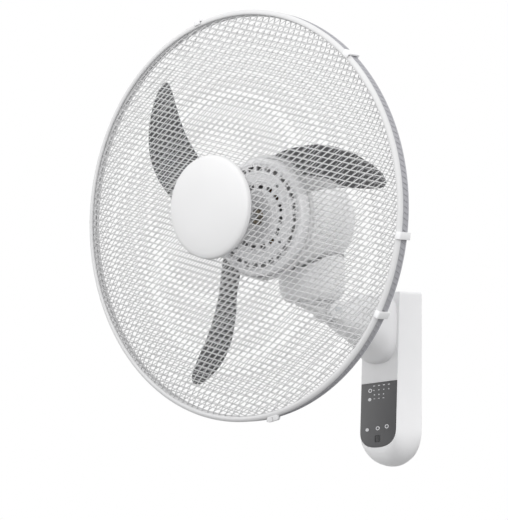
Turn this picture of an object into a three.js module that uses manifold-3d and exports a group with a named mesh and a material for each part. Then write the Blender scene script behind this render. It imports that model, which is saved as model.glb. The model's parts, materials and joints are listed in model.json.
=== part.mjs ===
// Wall mounted fan: a flat control box on the wall, a tapered arm, a tilting neck, an oscillating
// motor head and a three-bladed impeller inside a domed mesh guard. Millimetres, +Z up.
// The origin is on the wall face, at the middle of the hanging plate. The fan blows towards -Y.
import * as THREE from 'three';
import { mergeVertices } from 'three/addons/utils/BufferGeometryUtils.js';
import Module from 'manifold-3d';

const wasm = await Module();
wasm.setup();
const degree = Math.PI / 180;

// ---- driving dimensions ----
const seatGap = 0.3;             // between two pieces that touch or seat

// control box on the wall
const boxWidth = 96;
const boxTop = 99;               // top edge above the origin
const boxDepth = 29;             // depth at the top edge
const boxLean = 0.026;           // the front face comes forward as it goes down
const boxCorner = 4;
const boxWall = 2.2;
const boxFrontWall = 5;
const chinShoulder = -54;        // where the straight sides end
const chinFront = 21;            // drop of the rounded end at the front face
const chinBelly = 42;            // drop of the rounded end at its fullest
const chinHeel = 6;              // how far the wall edge is drawn up again
const panelTop = -1;
const panelThickness = 2.2;
const panelInset = 0.8;
const sensorWidth = 14;
const sensorHeight = 7;
const sensorRise = 7;            // above the lower end of the panel

// hanging plate on the wall
const plateWidth = 60;
const plateHeight = 116;
const plateThickness = 2;
const plateHoleRadius = 2.6;
const hookWidth = 12;
const hookReach = 5;
const backThickness = 4.5;

// arm, from the box to the tilt pivot
const armReach = 62.5;           // tilt pivot ahead of the box front
const swivelAhead = 20.5;        // swivel axis ahead of the tilt pivot
const armRootHalfWidth = 44;
const armRootBottom = 20;
const pivotHeight = 77;
const forkHalfWidth = 24;
const forkRadius = 10.5;
const neckHalfWidth = 12;
const neckBarrelRadius = 10.1;
const tiltBoltRadius = 4;
const tiltBoltHead = 7.5;

// swivel post, housing and swing drive
const postRadius = 9;
const postTopRadius = 4;
const saddleRadius = 20;
const saddleThickness = 4;
const podBottom = pivotHeight + forkRadius + 0.5;
const podWall = 2.5;
const podRadius = 37.5;
const gearModule = 1;
const gearTeeth = 24;
const pinionTeeth = 16;
const gearBottom = podBottom + 7;
const gearThickness = 5;
const swingMotorRadius = 13.5;
const swingMotorHeight = 12;

// fan head
const headYaw = 26.8;            // the head rests turned to its right
const headTilt = 2.8;            // and leaning a little down
const axisHeight = podBottom + 90.7; // fan axis above the origin, before it leans
const ringAhead = 117.5;         // ring plane ahead of the swivel axis
const ringRadius = 225;
const ringBand = 7.5;            // radial width of the trim ring
const ringFront = 8;
const ringSkirt = 4;             // where the trim ring ends and the rear guard's side wall begins
const guardBack = -7;
const ringWall = 2;
const rimWidth = 7;
const rimThickness = 4;

// guards: two families of wires laid over a dome
const wireAngleLow = -12;
const wireAngleHigh = 40;
const frontPitch = 42;
const rearPitch = 46;
const wireWidth = 3;
const wireThickness = 2.4;
const frontDomeTop = 47;
const frontDomePower = 2.3;
const rearDomeDepth = 42;
const rearDomePower = 5;
const capRadius = 57.5;
const capFront = 61;
const capEdge = 52.5;
const capWall = 2.2;
const capRise = 5;               // the cap sits a little above the fan axis
const clipAngles = [102, 44, -11, -33];
const clipWidth = 8;
const clipThickness = 2.2;
const clampAngle = -80;
const clampScrewRadius = 1.4;

// motor
const shellRadius = 51;
const shellWall = 2.5;
const shellFront = -42;
const shellBack = -150;
const coverRadius = 65;
const coverFace = -26;
const coverWall = 2;
const ventRings = [{ radius: coverRadius - 13, count: 16 }, { radius: coverRadius - 29, count: 10 }];
const ventWidth = 6;
const statorRadius = 42;
const statorBore = 20;
const statorFront = -76;
const statorBack = -112;
const shaftRadius = 4;
const bearingRadius = 9;
const bearingLength = 8;

// impeller: stations of a blade's two edges, each [radius, angle, height ahead of the ring plane]
const hubRadius = 34;
const hubBack = -8;
const hubFront = 26;
const hubWall = 2.4;
const bladeCount = 3;
const bladeThickness = 2;
const bladeCamber = 5;
const crestEdge = [
  [hubRadius - 3, 67, 29], [80, 42, 29], [110, 33.8, 24], [140, 27.3, 16.4], [170, 18.5, 6], [199, 4.2, -6.5]];
const straightEdge = [
  [hubRadius - 3, -1, 6.4], [80, 7.4, 4.4], [110, 8.2, 2.6], [140, 6.7, 0.2], [170, 4.3, -2.8], [199, 2.4, -6.5]];

// ---- materials ----
function plastic(color, roughness = 0.45) {
  return new THREE.MeshStandardMaterial({ color, roughness, metalness: 0 });
}
function metal(color, roughness = 0.35) {
  return new THREE.MeshStandardMaterial({ color, roughness, metalness: 1 });
}
const whitePlastic = plastic(0xe8e8e8);
const wirePaint = plastic(0xf0f0f0, 0.4);
const smokyPlastic = plastic(0x56585c, 0.25);
const darkLens = plastic(0x3c3d41, 0.2);
const blackPlastic = plastic(0x1c1c1e, 0.5);
const greenBoard = plastic(0x1f5a34, 0.6);
const nylon = plastic(0xd8d4c4, 0.5);
const steel = metal(0xb4b6b8);
const zincSteel = metal(0xc2c4c6, 0.4);
const coreSteel = metal(0x6d6f73, 0.55);
const copper = metal(0xb87333, 0.4);
const bronze = metal(0xa8834a, 0.45);

// ---- geometry helpers ----
function cleaned(source) {
  const bare = source.clone();
  bare.deleteAttribute('normal');
  bare.deleteAttribute('uv');
  const merged = mergeVertices(bare, 1e-4);
  const position = merged.attributes.position;
  const index = merged.index;
  const kept = [];
  let volume = 0;
  const [a, b, c] = [new THREE.Vector3(), new THREE.Vector3(), new THREE.Vector3()];
  for (let i = 0; i < index.count; i += 3) {
    const [p, q, r] = [index.getX(i), index.getX(i + 1), index.getX(i + 2)];
    if (p === q || q === r || r === p) continue;
    kept.push(p, q, r);
    a.fromBufferAttribute(position, p);
    b.fromBufferAttribute(position, q);
    c.fromBufferAttribute(position, r);
    volume += a.dot(b.cross(c)) / 6;
  }
  if (volume < 0) kept.reverse();
  merged.setIndex(kept);
  return merged;
}

function solidOf(geometry) {
  const merged = cleaned(geometry);
  return new wasm.Manifold(new wasm.Mesh({
    numProp: 3,
    vertProperties: new Float32Array(merged.attributes.position.array),
    triVerts: new Uint32Array(merged.index.array),
  }));
}

function geometryOf(solid) {
  const mesh = solid.getMesh();
  const geometry = new THREE.BufferGeometry();
  geometry.setAttribute('position', new THREE.BufferAttribute(mesh.vertProperties, 3));
  geometry.setIndex(new THREE.BufferAttribute(mesh.triVerts, 1));
  return geometry;
}

function joined(geometries) {
  return geometryOf(geometries.map(solidOf).reduce((whole, next) => whole.add(next)));
}

function cut(geometry, tools) {
  return geometryOf(tools.map(solidOf).reduce((whole, tool) => whole.subtract(tool), solidOf(geometry)));
}

function piece(parent, name, geometry, material) {
  const mesh = new THREE.Mesh(cleaned(geometry), material.clone());
  mesh.name = name;
  parent.add(mesh);
  return mesh;
}

function box(width, depth, height, x = 0, y = 0, z = 0) {
  return new THREE.BoxGeometry(width, depth, height).translate(x, y, z);
}

// profile of [radius, forward] turned about the fan axis, which points to -Y
function revolve(profile, segments) {
  const points = profile.map(([r, h]) => new THREE.Vector2(r, h));
  return new THREE.LatheGeometry([...points, points[0]], segments).rotateX(Math.PI);
}

// profile of [radius, height] turned about a vertical axis
function revolveUp(profile, segments, x = 0, y = 0) {
  const points = profile.map(([r, z]) => new THREE.Vector2(r, z));
  return new THREE.LatheGeometry([...points, points[0]], segments).rotateX(Math.PI / 2).translate(x, y, 0);
}

function rodForward(radius, back, front, x = 0, z = 0, segments = 16) {
  return revolve([[0, back], [radius, back], [radius, front], [0, front]], segments).translate(x, 0, z);
}

function rodUp(radius, bottom, top, x = 0, y = 0, segments = 16) {
  return revolveUp([[0, bottom], [radius, bottom], [radius, top], [0, top]], segments, x, y);
}

function rodAcross(radius, left, right, y, z, segments = 24) {
  return new THREE.CylinderGeometry(radius, radius, right - left, segments)
    .rotateZ(Math.PI / 2).translate((left + right) / 2, y, z);
}

// shape drawn in x and z, standing from y = back towards -Y
function slabForward(shape, thickness, back = 0, curveSegments = 6) {
  return new THREE.ExtrudeGeometry(shape, { depth: thickness, bevelEnabled: false, curveSegments })
    .rotateX(Math.PI / 2).translate(0, back, 0);
}

function roundedRectangle(width, height, radius) {
  const [w, h] = [width / 2, height / 2];
  const shape = new THREE.Shape();
  shape.absarc(w - radius, h - radius, radius, 0, Math.PI / 2);
  shape.absarc(-w + radius, h - radius, radius, Math.PI / 2, Math.PI);
  shape.absarc(-w + radius, -h + radius, radius, Math.PI, 1.5 * Math.PI);
  shape.absarc(w - radius, -h + radius, radius, 1.5 * Math.PI, 2 * Math.PI);
  return shape;
}

function circleHole(x, z, radius) {
  return new THREE.Path().absarc(x, z, radius, 0, 2 * Math.PI, true);
}

// closed skin through rings of equally many points, with flat fan ends
function loft(rings) {
  const count = rings[0].length;
  const points = rings.flat();
  const index = [];
  for (let k = 0; k + 1 < rings.length; k++) {
    for (let i = 0; i < count; i++) {
      const j = (i + 1) % count;
      const [p, q] = [k * count + i, k * count + j];
      index.push(p, q, q + count, p, q + count, p + count);
    }
  }
  for (const [ring, flip] of [[0, true], [rings.length - 1, false]]) {
    const middle = new THREE.Vector3();
    rings[ring].forEach((point) => middle.addScaledVector(point, 1 / count));
    const centre = points.push(middle) - 1;
    for (let i = 0; i < count; i++) {
      const [p, q] = [ring * count + i, ring * count + ((i + 1) % count)];
      index.push(centre, flip ? q : p, flip ? p : q);
    }
  }
  const geometry = new THREE.BufferGeometry().setFromPoints(points);
  geometry.setIndex(index);
  return geometry;
}

// ---- control box ----
const depthAt = (z) => boxDepth + boxLean * (boxTop - z);

function chinDrop(t) {
  const heel = chinHeel * Math.max(0, 1 - t / 0.4) ** 2;
  return chinFront + (chinBelly - chinFront) * (1 - t ** 3.2) ** (1 / 2.2) - heel;
}

// front-view outline of the box at depth fraction t, drawn in by inset
function boxOutline(t, inset) {
  const half = boxWidth / 2 - inset;
  const top = boxTop - inset;
  const corner = Math.max(boxCorner - inset, 0.8);
  const drop = chinDrop(t) - inset;
  const power = 2.2 + 0.3 * t;
  const outline = [];
  for (const [cx, start] of [[half - corner, 0], [-half + corner, 90]]) {
    for (let i = 0; i <= 2; i++) {
      const angle = (start + 45 * i) * degree;
      outline.push([cx + corner * Math.cos(angle), top - corner + corner * Math.sin(angle)]);
    }
  }
  const steps = 12;
  for (let i = 0; i <= steps; i++) {
    const angle = Math.PI * (1 + i / steps);
    const [c, s] = [Math.cos(angle), Math.abs(Math.sin(angle))];
    const x = half * Math.sign(c) * Math.abs(c) ** (2 / power);
    outline.push([x, chinShoulder - drop * s ** (2 / power)]);
  }
  return outline;
}

// the box's form from depth "back" to "frontInset" short of its face
function boxForm(inset, back, frontInset, shift = 0) {
  const stations = [0, 0.14, 0.4, 0.64, 0.82, 0.94, 1];
  return loft(stations.map((s) => boxOutline(s, inset).map(([x, z]) => {
    const y = back + s * (depthAt(z) - frontInset - back);
    return new THREE.Vector3(x, -y - shift, z);
  })));
}

// a flat layer that follows the leaning front face, between two depths behind it
function faceLayer(inset, outerDepth, innerDepth, top) {
  const rings = [innerDepth, outerDepth].map((d) => boxOutline(1, inset)
    .map(([x, z]) => new THREE.Vector3(x, -(depthAt(z) - d), z)));
  const below = box(2 * boxWidth, 4 * boxDepth, 2 * boxTop, 0, -boxDepth, top - boxTop);
  return geometryOf(solidOf(loft(rings)).intersect(solidOf(below)));
}

const panelBottom = chinShoulder - chinFront;
const sensorCentre = panelBottom + sensorRise + sensorHeight / 2;
const glandRadius = 4;
const glandHeight = chinShoulder - chinBelly + chinHeel;
const boardThickness = 1.6;
const boardHalf = { width: 31, height: 24 };
const boardCentre = (panelTop + chinShoulder) / 2;
const boardPostInset = 5;
const armScrewPlaces = [[-26, 84], [26, 84], [-26, 44], [26, 44]];
const coverScrewSide = plateWidth / 2 + 6;
const coverScrewPlaces = [86, -44].flatMap((z) => [[-coverScrewSide, z], [coverScrewSide, z]]);
const screwRadius = 2;
const screwHeadRadius = 3.6;
const screwHeadHeight = 2;
const backPlane = seatGap;       // the rear cover stands this far off the wall

const alongFace = (z, behind) => -(depthAt(z) - behind);
const boardFront = depthAt(boardCentre + boardHalf.height) - boxFrontWall - 3;

function frontCover() {
  const shell = cut(boxForm(0, backPlane, 0), [boxForm(boxWall, -1, boxFrontWall)]);
  const posts = coverScrewPlaces.map(([x, z]) =>
    rodForward(4, backPlane + backThickness + seatGap, depthAt(z) - boxFrontWall + 1, x, z, 10));
  const boardPosts = [[-1, -1], [1, -1], [-1, 1], [1, 1]].map(([sx, sz]) => {
    const z = boardCentre + sz * (boardHalf.height - boardPostInset);
    const inner = depthAt(z) - boxFrontWall;
    return rodForward(2.5, boardFront + seatGap, inner + 1, sx * (boardHalf.width - boardPostInset), z, 8);
  });
  const recess = faceLayer(panelInset - seatGap, -1, panelThickness + seatGap, panelTop + seatGap);
  const window = box(52, 12, 34, 0, alongFace(boardCentre, 2), boardCentre);
  const holes = armScrewPlaces.map(([x, z]) => rodForward(screwRadius + seatGap, 1, 60, x, z, 8));
  const pilots = coverScrewPlaces.map(([x, z]) =>
    rodForward(screwRadius + seatGap, 0, backThickness + 14, x, z, 8));
  const gland = rodUp(glandRadius + seatGap, glandHeight - 12, glandHeight + 12, 0, -glandRadius - 4);
  return cut(joined([shell, ...posts, ...boardPosts]), [recess, window, ...holes, ...pilots, gland]);
}

function rearCover() {
  const inset = boxWall + seatGap;
  const blank = loft([0.02, 0.12].map((t) => boxOutline(t, inset + (t < 0.1 ? 1.2 : 0)).map(([x, z]) =>
    new THREE.Vector3(x, t < 0.1 ? -backPlane : -backPlane - backThickness, z))));
  const recess = box(plateWidth + 1, 2 * (plateThickness + seatGap), plateHeight + 1, 0, 0, 0);
  const hookSlots = [-1, 1].map((side) => box(hookWidth + 2, 30, 14, side * 18, 0, 40));
  const hollow = box(plateWidth - 14, 30, 40, 0, 0, -4);
  const holes = coverScrewPlaces.map(([x, z]) => rodForward(screwRadius + seatGap, -1, 12, x, z, 8));
  const heads = coverScrewPlaces.map(([x, z]) =>
    rodForward(screwHeadRadius + seatGap, -1, screwHeadHeight + 2 * seatGap, x, z, 8));
  const gland = rodUp(glandRadius + 2, glandHeight - 12, glandHeight + 14, 0, -glandRadius - 4);
  return cut(blank, [recess, ...hookSlots, hollow, ...holes, ...heads, gland]);
}

function wallPlate() {
  const outline = roundedRectangle(plateWidth, plateHeight, 6);
  for (const [x, z] of [[-20, 22], [20, 22], [-20, -46], [20, -46]]) {
    outline.holes.push(circleHole(x, z, plateHoleRadius));
  }
  const hooks = [-1, 1].flatMap((side) => [
    box(hookWidth, hookReach + 1, 2.5, side * 18, -plateThickness - hookReach / 2 + 0.5, 38),
    box(hookWidth, 2, 7, side * 18, -plateThickness - hookReach + 1, 40.5),
  ]);
  return joined([slabForward(outline, plateThickness, 0, 4), ...hooks]);
}

function buildBox(parent) {
  piece(parent, 'wall_plate', wallPlate(), zincSteel);
  piece(parent, 'rear_cover', rearCover(), whitePlastic);
  piece(parent, 'front_cover', frontCover(), whitePlastic);

  const sensorSeat = box(sensorWidth + 2 * seatGap, 30, sensorHeight + 2 * seatGap, 0, -boxDepth, sensorCentre);
  const panel = cut(faceLayer(panelInset, 0, panelThickness, panelTop), [sensorSeat]);
  piece(parent, 'control_panel', panel, darkLens);
  const sensor = box(sensorWidth, panelThickness - 2 * seatGap, sensorHeight, 0,
    alongFace(sensorCentre, panelThickness / 2), sensorCentre);
  piece(parent, 'sensor_window', sensor, blackPlastic);

  const board = box(2 * boardHalf.width, boardThickness, 2 * boardHalf.height, 0,
    -boardFront + boardThickness / 2, boardCentre);
  piece(parent, 'control_board', board, greenBoard);

  const seat = -backPlane - backThickness - seatGap;
  piece(parent, 'run_capacitor', box(14, 13, 30, -28, seat - 6.5, 14), blackPlastic);
  piece(parent, 'terminal_block', box(34, 10, 12, 0, seat - 5, -56), nylon);

  coverScrewPlaces.forEach(([x, z], i) => {
    const screw = joined([
      rodForward(screwHeadRadius, 0.4, 0.4 + screwHeadHeight, x, z, 8),
      rodForward(screwRadius, 0.4 + screwHeadHeight - 0.2, backThickness + 12, x, z, 6),
    ]);
    piece(parent, `cover_screw_${i + 1}`, screw, steel);
  });
  armScrewPlaces.forEach(([x, z], i) => {
    const inner = depthAt(z) - boxFrontWall - seatGap;
    const screw = joined([
      rodForward(screwHeadRadius, inner - screwHeadHeight, inner, x, z, 8),
      rodForward(screwRadius, inner - 0.2, inner + boxFrontWall + 10, x, z, 6),
    ]);
    piece(parent, `arm_screw_${i + 1}`, screw, steel);
  });

  const gland = joined([
    revolveUp([[2.2, glandHeight - 4], [glandRadius, glandHeight - 4], [glandRadius, glandHeight + 3],
      [glandRadius + 1.4, glandHeight + 3], [glandRadius + 1.4, glandHeight + 5], [2.2, glandHeight + 5]],
    14, 0, -glandRadius - 4),
  ]);
  piece(parent, 'cord_gland', gland, nylon);
}

// ---- arm and neck ----
const armRootTop = boxTop - 0.5;
const boxFaceAtArm = depthAt((armRootTop + armRootBottom) / 2);
const pivotY = -(boxFaceAtArm + armReach);
const forkSlot = neckHalfWidth + 0.4;

// stations ahead of the box front: [distance, half width, bottom, top]
const forkStart = forkRadius - 2;
const armStations = [
  [-3, armRootHalfWidth, armRootBottom, armRootTop],
  [8, armRootHalfWidth - 1, armRootBottom + 2, armRootTop],
  [16, armRootHalfWidth - 5, armRootBottom + 9, armRootTop],
  [24, armRootHalfWidth - 10, armRootBottom + 17, armRootTop],
  [32, armRootHalfWidth - 14, armRootBottom + 23, armRootTop - 3],
  [40, forkHalfWidth + 3, pivotHeight - 28.5, pivotHeight + 13],
  [47, forkHalfWidth + 1, pivotHeight - 24, pivotHeight + 8.5],
  [armReach - forkStart, forkHalfWidth, pivotHeight - 19, pivotHeight + 6.5],
  [armReach, forkHalfWidth, pivotHeight - forkRadius, pivotHeight + 6.5],
];

function armSection([distance, half, bottom, top]) {
  const [middle, rise] = [(bottom + top) / 2, (top - bottom) / 2];
  const power = 3.2;
  const ring = [];
  for (let i = 0; i < 20; i++) {
    const angle = (Math.PI * (i + 0.5)) / 10;
    const [c, s] = [Math.cos(angle), Math.sin(angle)];
    const x = half * Math.sign(c) * Math.abs(c) ** (2 / power);
    const z = middle + rise * Math.sign(s) * Math.abs(s) ** (2 / power);
    ring.push(new THREE.Vector3(x, -(boxFaceAtArm + distance), z));
  }
  return ring;
}

function supportArm() {
  const body = joined([
    loft(armStations.map(armSection)),
    rodAcross(forkRadius, -forkHalfWidth, forkHalfWidth, pivotY, pivotHeight, 24),
  ]);
  const slotLength = 2 * (neckBarrelRadius + 2);
  const slot = box(2 * forkSlot, slotLength, 200, 0, pivotY, pivotHeight);
  const bolt = rodAcross(tiltBoltRadius + seatGap, -60, 60, pivotY, pivotHeight, 16);
  const holes = armScrewPlaces.map(([x, z]) =>
    rodForward(screwRadius + seatGap, 0, depthAt(z) + 10, x, z, 8));
  return cut(body, [boxForm(-2, -1, 0, seatGap), slot, bolt, ...holes]);
}

// the neck hangs on the tilt bolt and carries the swivel post ahead of it
function neck() {
  const barrel = rodAcross(neckBarrelRadius, -neckHalfWidth, neckHalfWidth, 0, pivotHeight, 24);
  const shoulder = podBottom - seatGap;
  const gusset = new THREE.Shape([
    new THREE.Vector2(2, pivotHeight + neckBarrelRadius - 2), new THREE.Vector2(0, pivotHeight - 7),
    new THREE.Vector2(-7, pivotHeight - 7.2),
    new THREE.Vector2(-swivelAhead - 13, shoulder - saddleThickness + 1),
    new THREE.Vector2(-swivelAhead - 13, shoulder), new THREE.Vector2(-4, shoulder),
  ]);
  const bridge = new THREE.ExtrudeGeometry(gusset, { depth: 2 * neckHalfWidth - 0.8, bevelEnabled: false })
    .rotateX(Math.PI / 2).rotateZ(Math.PI / 2).translate(-neckHalfWidth + 0.4, 0, 0);
  const foot = shoulder - saddleThickness;
  const saddle = revolveUp([
    [0, foot], [saddleRadius - 3, foot], [saddleRadius, foot + 2], [saddleRadius, shoulder], [0, shoulder],
  ], 28, 0, -swivelAhead);
  const forkRoom = rodAcross(forkRadius + 1, -2 * saddleRadius, 2 * saddleRadius, 0, pivotHeight, 24);
  const postTop = gearBottom + gearThickness + 7;
  const post = revolveUp([
    [0, shoulder - 1], [postRadius, shoulder - 1], [postRadius, gearBottom - seatGap],
    [postTopRadius, gearBottom - seatGap], [postTopRadius, postTop], [0, postTop]], 20, 0, -swivelAhead);
  const bolt = rodAcross(tiltBoltRadius + seatGap, -60, 60, 0, pivotHeight, 16);
  return cut(joined([barrel, bridge, cut(saddle, [forkRoom]), post]), [bolt]);
}

function gearShape(teeth, bore) {
  const pitchAngle = (2 * Math.PI) / teeth;
  const root = (gearModule * (teeth - 2.4)) / 2;
  const tip = (gearModule * (teeth + 1.8)) / 2;
  const shape = new THREE.Shape();
  for (let i = 0; i < teeth; i++) {
    for (const [share, radius] of [[-0.3, root], [-0.13, tip], [0.13, tip], [0.3, root]]) {
      const angle = (i + share) * pitchAngle;
      const [x, y] = [radius * Math.cos(angle), radius * Math.sin(angle)];
      if (i === 0 && share === -0.3) shape.moveTo(x, y);
      else shape.lineTo(x, y);
    }
  }
  if (bore > 0) shape.holes.push(circleHole(0, 0, bore));
  return shape;
}

function gearSolid(teeth, bore, turn) {
  const options = { depth: gearThickness, bevelEnabled: false, curveSegments: 6 };
  return new THREE.ExtrudeGeometry(gearShape(teeth, bore), options)
    .rotateZ(turn).translate(0, 0, gearBottom);
}

function buildNeck(parent) {
  piece(parent, 'support_arm', supportArm(), whitePlastic);
  const hinge = new THREE.Group();
  hinge.position.set(0, pivotY, pivotHeight);
  hinge.rotation.x = headTilt * degree;
  parent.add(hinge);
  const pivot = new THREE.Group();
  pivot.position.z = -pivotHeight;
  hinge.add(pivot);
  piece(pivot, 'neck', neck(), whitePlastic);

  const reach = forkHalfWidth + seatGap;
  const bolt = joined([
    rodAcross(tiltBoltRadius, -reach - 8, reach + 1, 0, pivotHeight, 16),
    rodAcross(tiltBoltHead, reach, reach + 5, 0, pivotHeight, 20),
  ]);
  piece(pivot, 'tilt_bolt', bolt, zincSteel);
  const nut = cut(rodAcross(tiltBoltHead, -reach - 6, -reach, 0, pivotHeight, 6),
    [rodAcross(tiltBoltRadius + seatGap, -reach - 20, 0, 0, pivotHeight, 16)]);
  piece(pivot, 'tilt_nut', nut, zincSteel);

  const swivel = new THREE.Group();
  swivel.position.y = -swivelAhead;
  pivot.add(swivel);
  // a gap between two teeth faces the pinion, which lies ahead of the post
  const gearTurn = (headYaw - 90) * degree + Math.PI / gearTeeth;
  piece(swivel, 'swing_gear', gearSolid(gearTeeth, postTopRadius + seatGap, gearTurn), nylon);
  const nutBase = gearBottom + gearThickness + seatGap;
  const postNut = cut(rodUp(6, nutBase, nutBase + 4, 0, 0, 6),
    [rodUp(postTopRadius + seatGap, nutBase - 5, nutBase + 20)]);
  piece(swivel, 'post_nut', postNut, steel);
  return swivel;
}

// ---- motor head, in a frame on the fan axis at the ring plane ----
const shellFlangeRadius = coverRadius + 1;
const shellProfile = [
  [0, shellBack], [shellRadius - 22, shellBack + 1], [shellRadius - 9, shellBack + 5],
  [shellRadius - 2, shellBack + 13], [shellRadius, shellBack + 25], [shellRadius + 1, -90],
  [shellRadius + 4, -66], [coverRadius - 4, shellFront - 9],
  [shellFlangeRadius, shellFront - 4], [shellFlangeRadius, shellFront],
];
const shellBore = shellRadius - shellWall;
const mountAngles = [45, 135, 225, 315];

function rearShell() {
  const inside = [
    [coverRadius - 5, shellFront], [shellRadius + 3, -64], [shellBore, -76], [shellBore, shellBack + 22],
    [shellBore - 3, shellBack + 13], [shellRadius - 11, shellBack + 8], [0, shellBack + shellWall + 1],
  ];
  const skin = revolve([...shellProfile, ...inside], 28);
  const ribLength = shellBore + 1 - statorRadius - seatGap;
  const ribs = mountAngles.map((angle) => box(ribLength, statorFront - statorBack - 4, 5)
    .translate(statorRadius + seatGap + ribLength / 2, -(statorFront + statorBack) / 2, 0)
    .rotateY(-angle * degree));
  const vents = [];
  for (let i = 0; i < 8; i++) {
    vents.push(box(4, 26, 12, 0, 0, shellRadius - 22).rotateY((i * 45 + 22.5) * degree).translate(0, -shellBack, 0));
  }
  return cut(joined([skin, ...ribs]), vents);
}

function swivelHousing() {
  const inner = podRadius - podWall;
  const top = axisHeight - shellRadius + 14;
  const profile = [
    [postRadius + seatGap, podBottom], [podRadius - 11, podBottom], [podRadius - 5.5, podBottom + 3],
    [podRadius - 2, podBottom + 9], [podRadius, podBottom + 24], [podRadius, top], [inner, top],
    [inner, podBottom + 25], [inner - 1.6, podBottom + 10], [inner - 4, podBottom + 5.5],
    [inner - 9.5, podBottom + 3], [postRadius + seatGap, podBottom + 3],
  ];
  const pod = revolveUp(profile, 28, 0, ringAhead).translate(0, 0, -axisHeight);
  const room = shellProfile.map(([r, h]) => [r > 0 ? r + seatGap + 0.2 : 0, h - (h === shellBack ? 1 : 0)]);
  return cut(pod, [revolve([...room, [0, shellFront]], 28)]);
}

function ventRing(radius, count, width, length, shape, offset) {
  for (let i = 0; i < count; i++) {
    const middle = ((i + offset) * 2 * Math.PI) / count;
    const half = length / 2 / radius;
    const corners = [[radius - width / 2, -half], [radius - width / 2, half], [radius + width / 2, half],
      [radius + width / 2, -half]];
    const hole = new THREE.Path(corners.map(([r, a]) =>
      new THREE.Vector2(r * Math.cos(middle + a), r * Math.sin(middle + a))));
    shape.holes.push(hole);
  }
}

function motorFrontCover() {
  const face = new THREE.Shape().absarc(0, 0, coverRadius - 3, 0, 2 * Math.PI);
  face.holes.push(circleHole(0, 0, bearingRadius + seatGap));
  ventRings.forEach(({ radius, count }, i) => ventRing(radius, count, ventWidth, 10, face, 0.5 * i));
  const plate = slabForward(face, coverWall, -coverFace + coverWall, 8);
  const seat = shellFront + 2 * seatGap + 2;
  const rim = revolve([
    [coverRadius - 2.5, seat], [coverRadius, seat], [coverRadius, coverFace - 2.5], [coverRadius - 2.5, coverFace],
    [coverRadius - 5, coverFace], [coverRadius - 5, coverFace - coverWall],
    [coverRadius - 2.5, coverFace - coverWall - 1],
  ], 32);
  const bearingBack = coverFace - bearingLength - 2;
  const boss = revolve([
    [bearingRadius + seatGap, bearingBack], [bearingRadius + 3, bearingBack], [bearingRadius + 4, coverFace - 1],
    [bearingRadius + seatGap, coverFace - 1],
  ], 20);
  const screwBosses = guardScrewPlaces.map(([x, z]) => rodForward(3.6, seat, coverFace - 1, x, z, 8));
  const holes = guardScrewPlaces.map(([x, z]) => rodForward(screwRadius + seatGap, -60, 0, x, z, 8));
  return cut(joined([plate, rim, boss, ...screwBosses]), holes);
}
const guardScrewRadius = (ventRings[0].radius + ventRings[1].radius) / 2;
const guardScrewPlaces = mountAngles.map((a) =>
  [guardScrewRadius * Math.cos(a * degree), guardScrewRadius * Math.sin(a * degree)]);

const bearingFront = coverFace - 2;
const bracketFace = statorBack - 14;

function bearingBracket() {
  const shape = new THREE.Shape().absarc(0, 0, shellBore - seatGap, 0, 2 * Math.PI);
  shape.holes.push(circleHole(0, 0, bearingRadius + seatGap));
  for (let i = 0; i < 4; i++) {
    const angle = (i * 90 + 45) * degree;
    shape.holes.push(circleHole(29 * Math.cos(angle), 29 * Math.sin(angle), 10));
  }
  const plate = slabForward(shape, 3, -bracketFace, 5);
  const hub = ringOf(bearingRadius + seatGap, bearingRadius + 3, bracketFace - bearingLength, bracketFace + 1, 16);
  return joined([plate, hub]);
}

function ringOf(inner, outer, back, front, segments = 32) {
  return revolve([[inner, back], [outer, back], [outer, front], [inner, front]], segments);
}

function buildMotor(parent) {
  piece(parent, 'motor_rear_shell', rearShell(), whitePlastic);
  piece(parent, 'swivel_housing', swivelHousing(), whitePlastic);
  piece(parent, 'motor_front_cover', motorFrontCover(), whitePlastic);
  piece(parent, 'stator_core', ringOf(statorBore, statorRadius, statorBack, statorFront, 28), coreSteel);
  const winding = (back, front) => revolve([[statorBore + 4, back], [statorBore + 17, back], [statorBore + 19, (back + front) / 2],
    [statorBore + 16, front], [statorBore + 5, front], [statorBore + 3, (back + front) / 2]], 18);
  piece(parent, 'winding_front', winding(statorFront + seatGap, statorFront + 10), copper);
  piece(parent, 'winding_rear', winding(statorBack - 10, statorBack - seatGap), copper);
  piece(parent, 'bearing_bracket', bearingBracket(), zincSteel);
  const bearing = (back) => ringOf(shaftRadius + seatGap, bearingRadius, back, back + bearingLength, 16);
  piece(parent, 'front_bearing', bearing(bearingFront - bearingLength), bronze);
  piece(parent, 'rear_bearing', bearing(bracketFace - bearingLength), bronze);

  const drive = new THREE.Group();
  drive.position.set(0, ringAhead - (gearModule * (gearTeeth + pinionTeeth)) / 2, -axisHeight);
  parent.add(drive);
  const motorBase = gearBottom + gearThickness + 3;
  piece(drive, 'swing_motor', rodUp(swingMotorRadius, motorBase, motorBase + swingMotorHeight, 0, 0, 24), steel);
  const pinionTurn = 90 * degree;
  const pinion = joined([
    gearSolid(pinionTeeth, 0, pinionTurn),
    rodUp(2.5, gearBottom, motorBase - seatGap, 0, 0, 12),
  ]);
  piece(drive, 'swing_pinion', pinion, nylon);
}

// ---- guards ----
const frontRimRadius = ringRadius - ringWall - 2 * seatGap;
const wireReach = frontRimRadius - rimWidth;
const guardSegments = 48;

function frontDome(r) {
  const share = Math.max(0, (r - capRadius + 6) / (wireReach - capRadius + 6));
  return ringFront - 4.5 + (frontDomeTop - ringFront + 4.5) * (1 - Math.min(1, share) ** frontDomePower);
}

function rearDome(r) {
  const share = Math.min(1, r / wireReach);
  return -rearDomeDepth + (rearDomeDepth - 3) * share ** rearDomePower;
}

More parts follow.
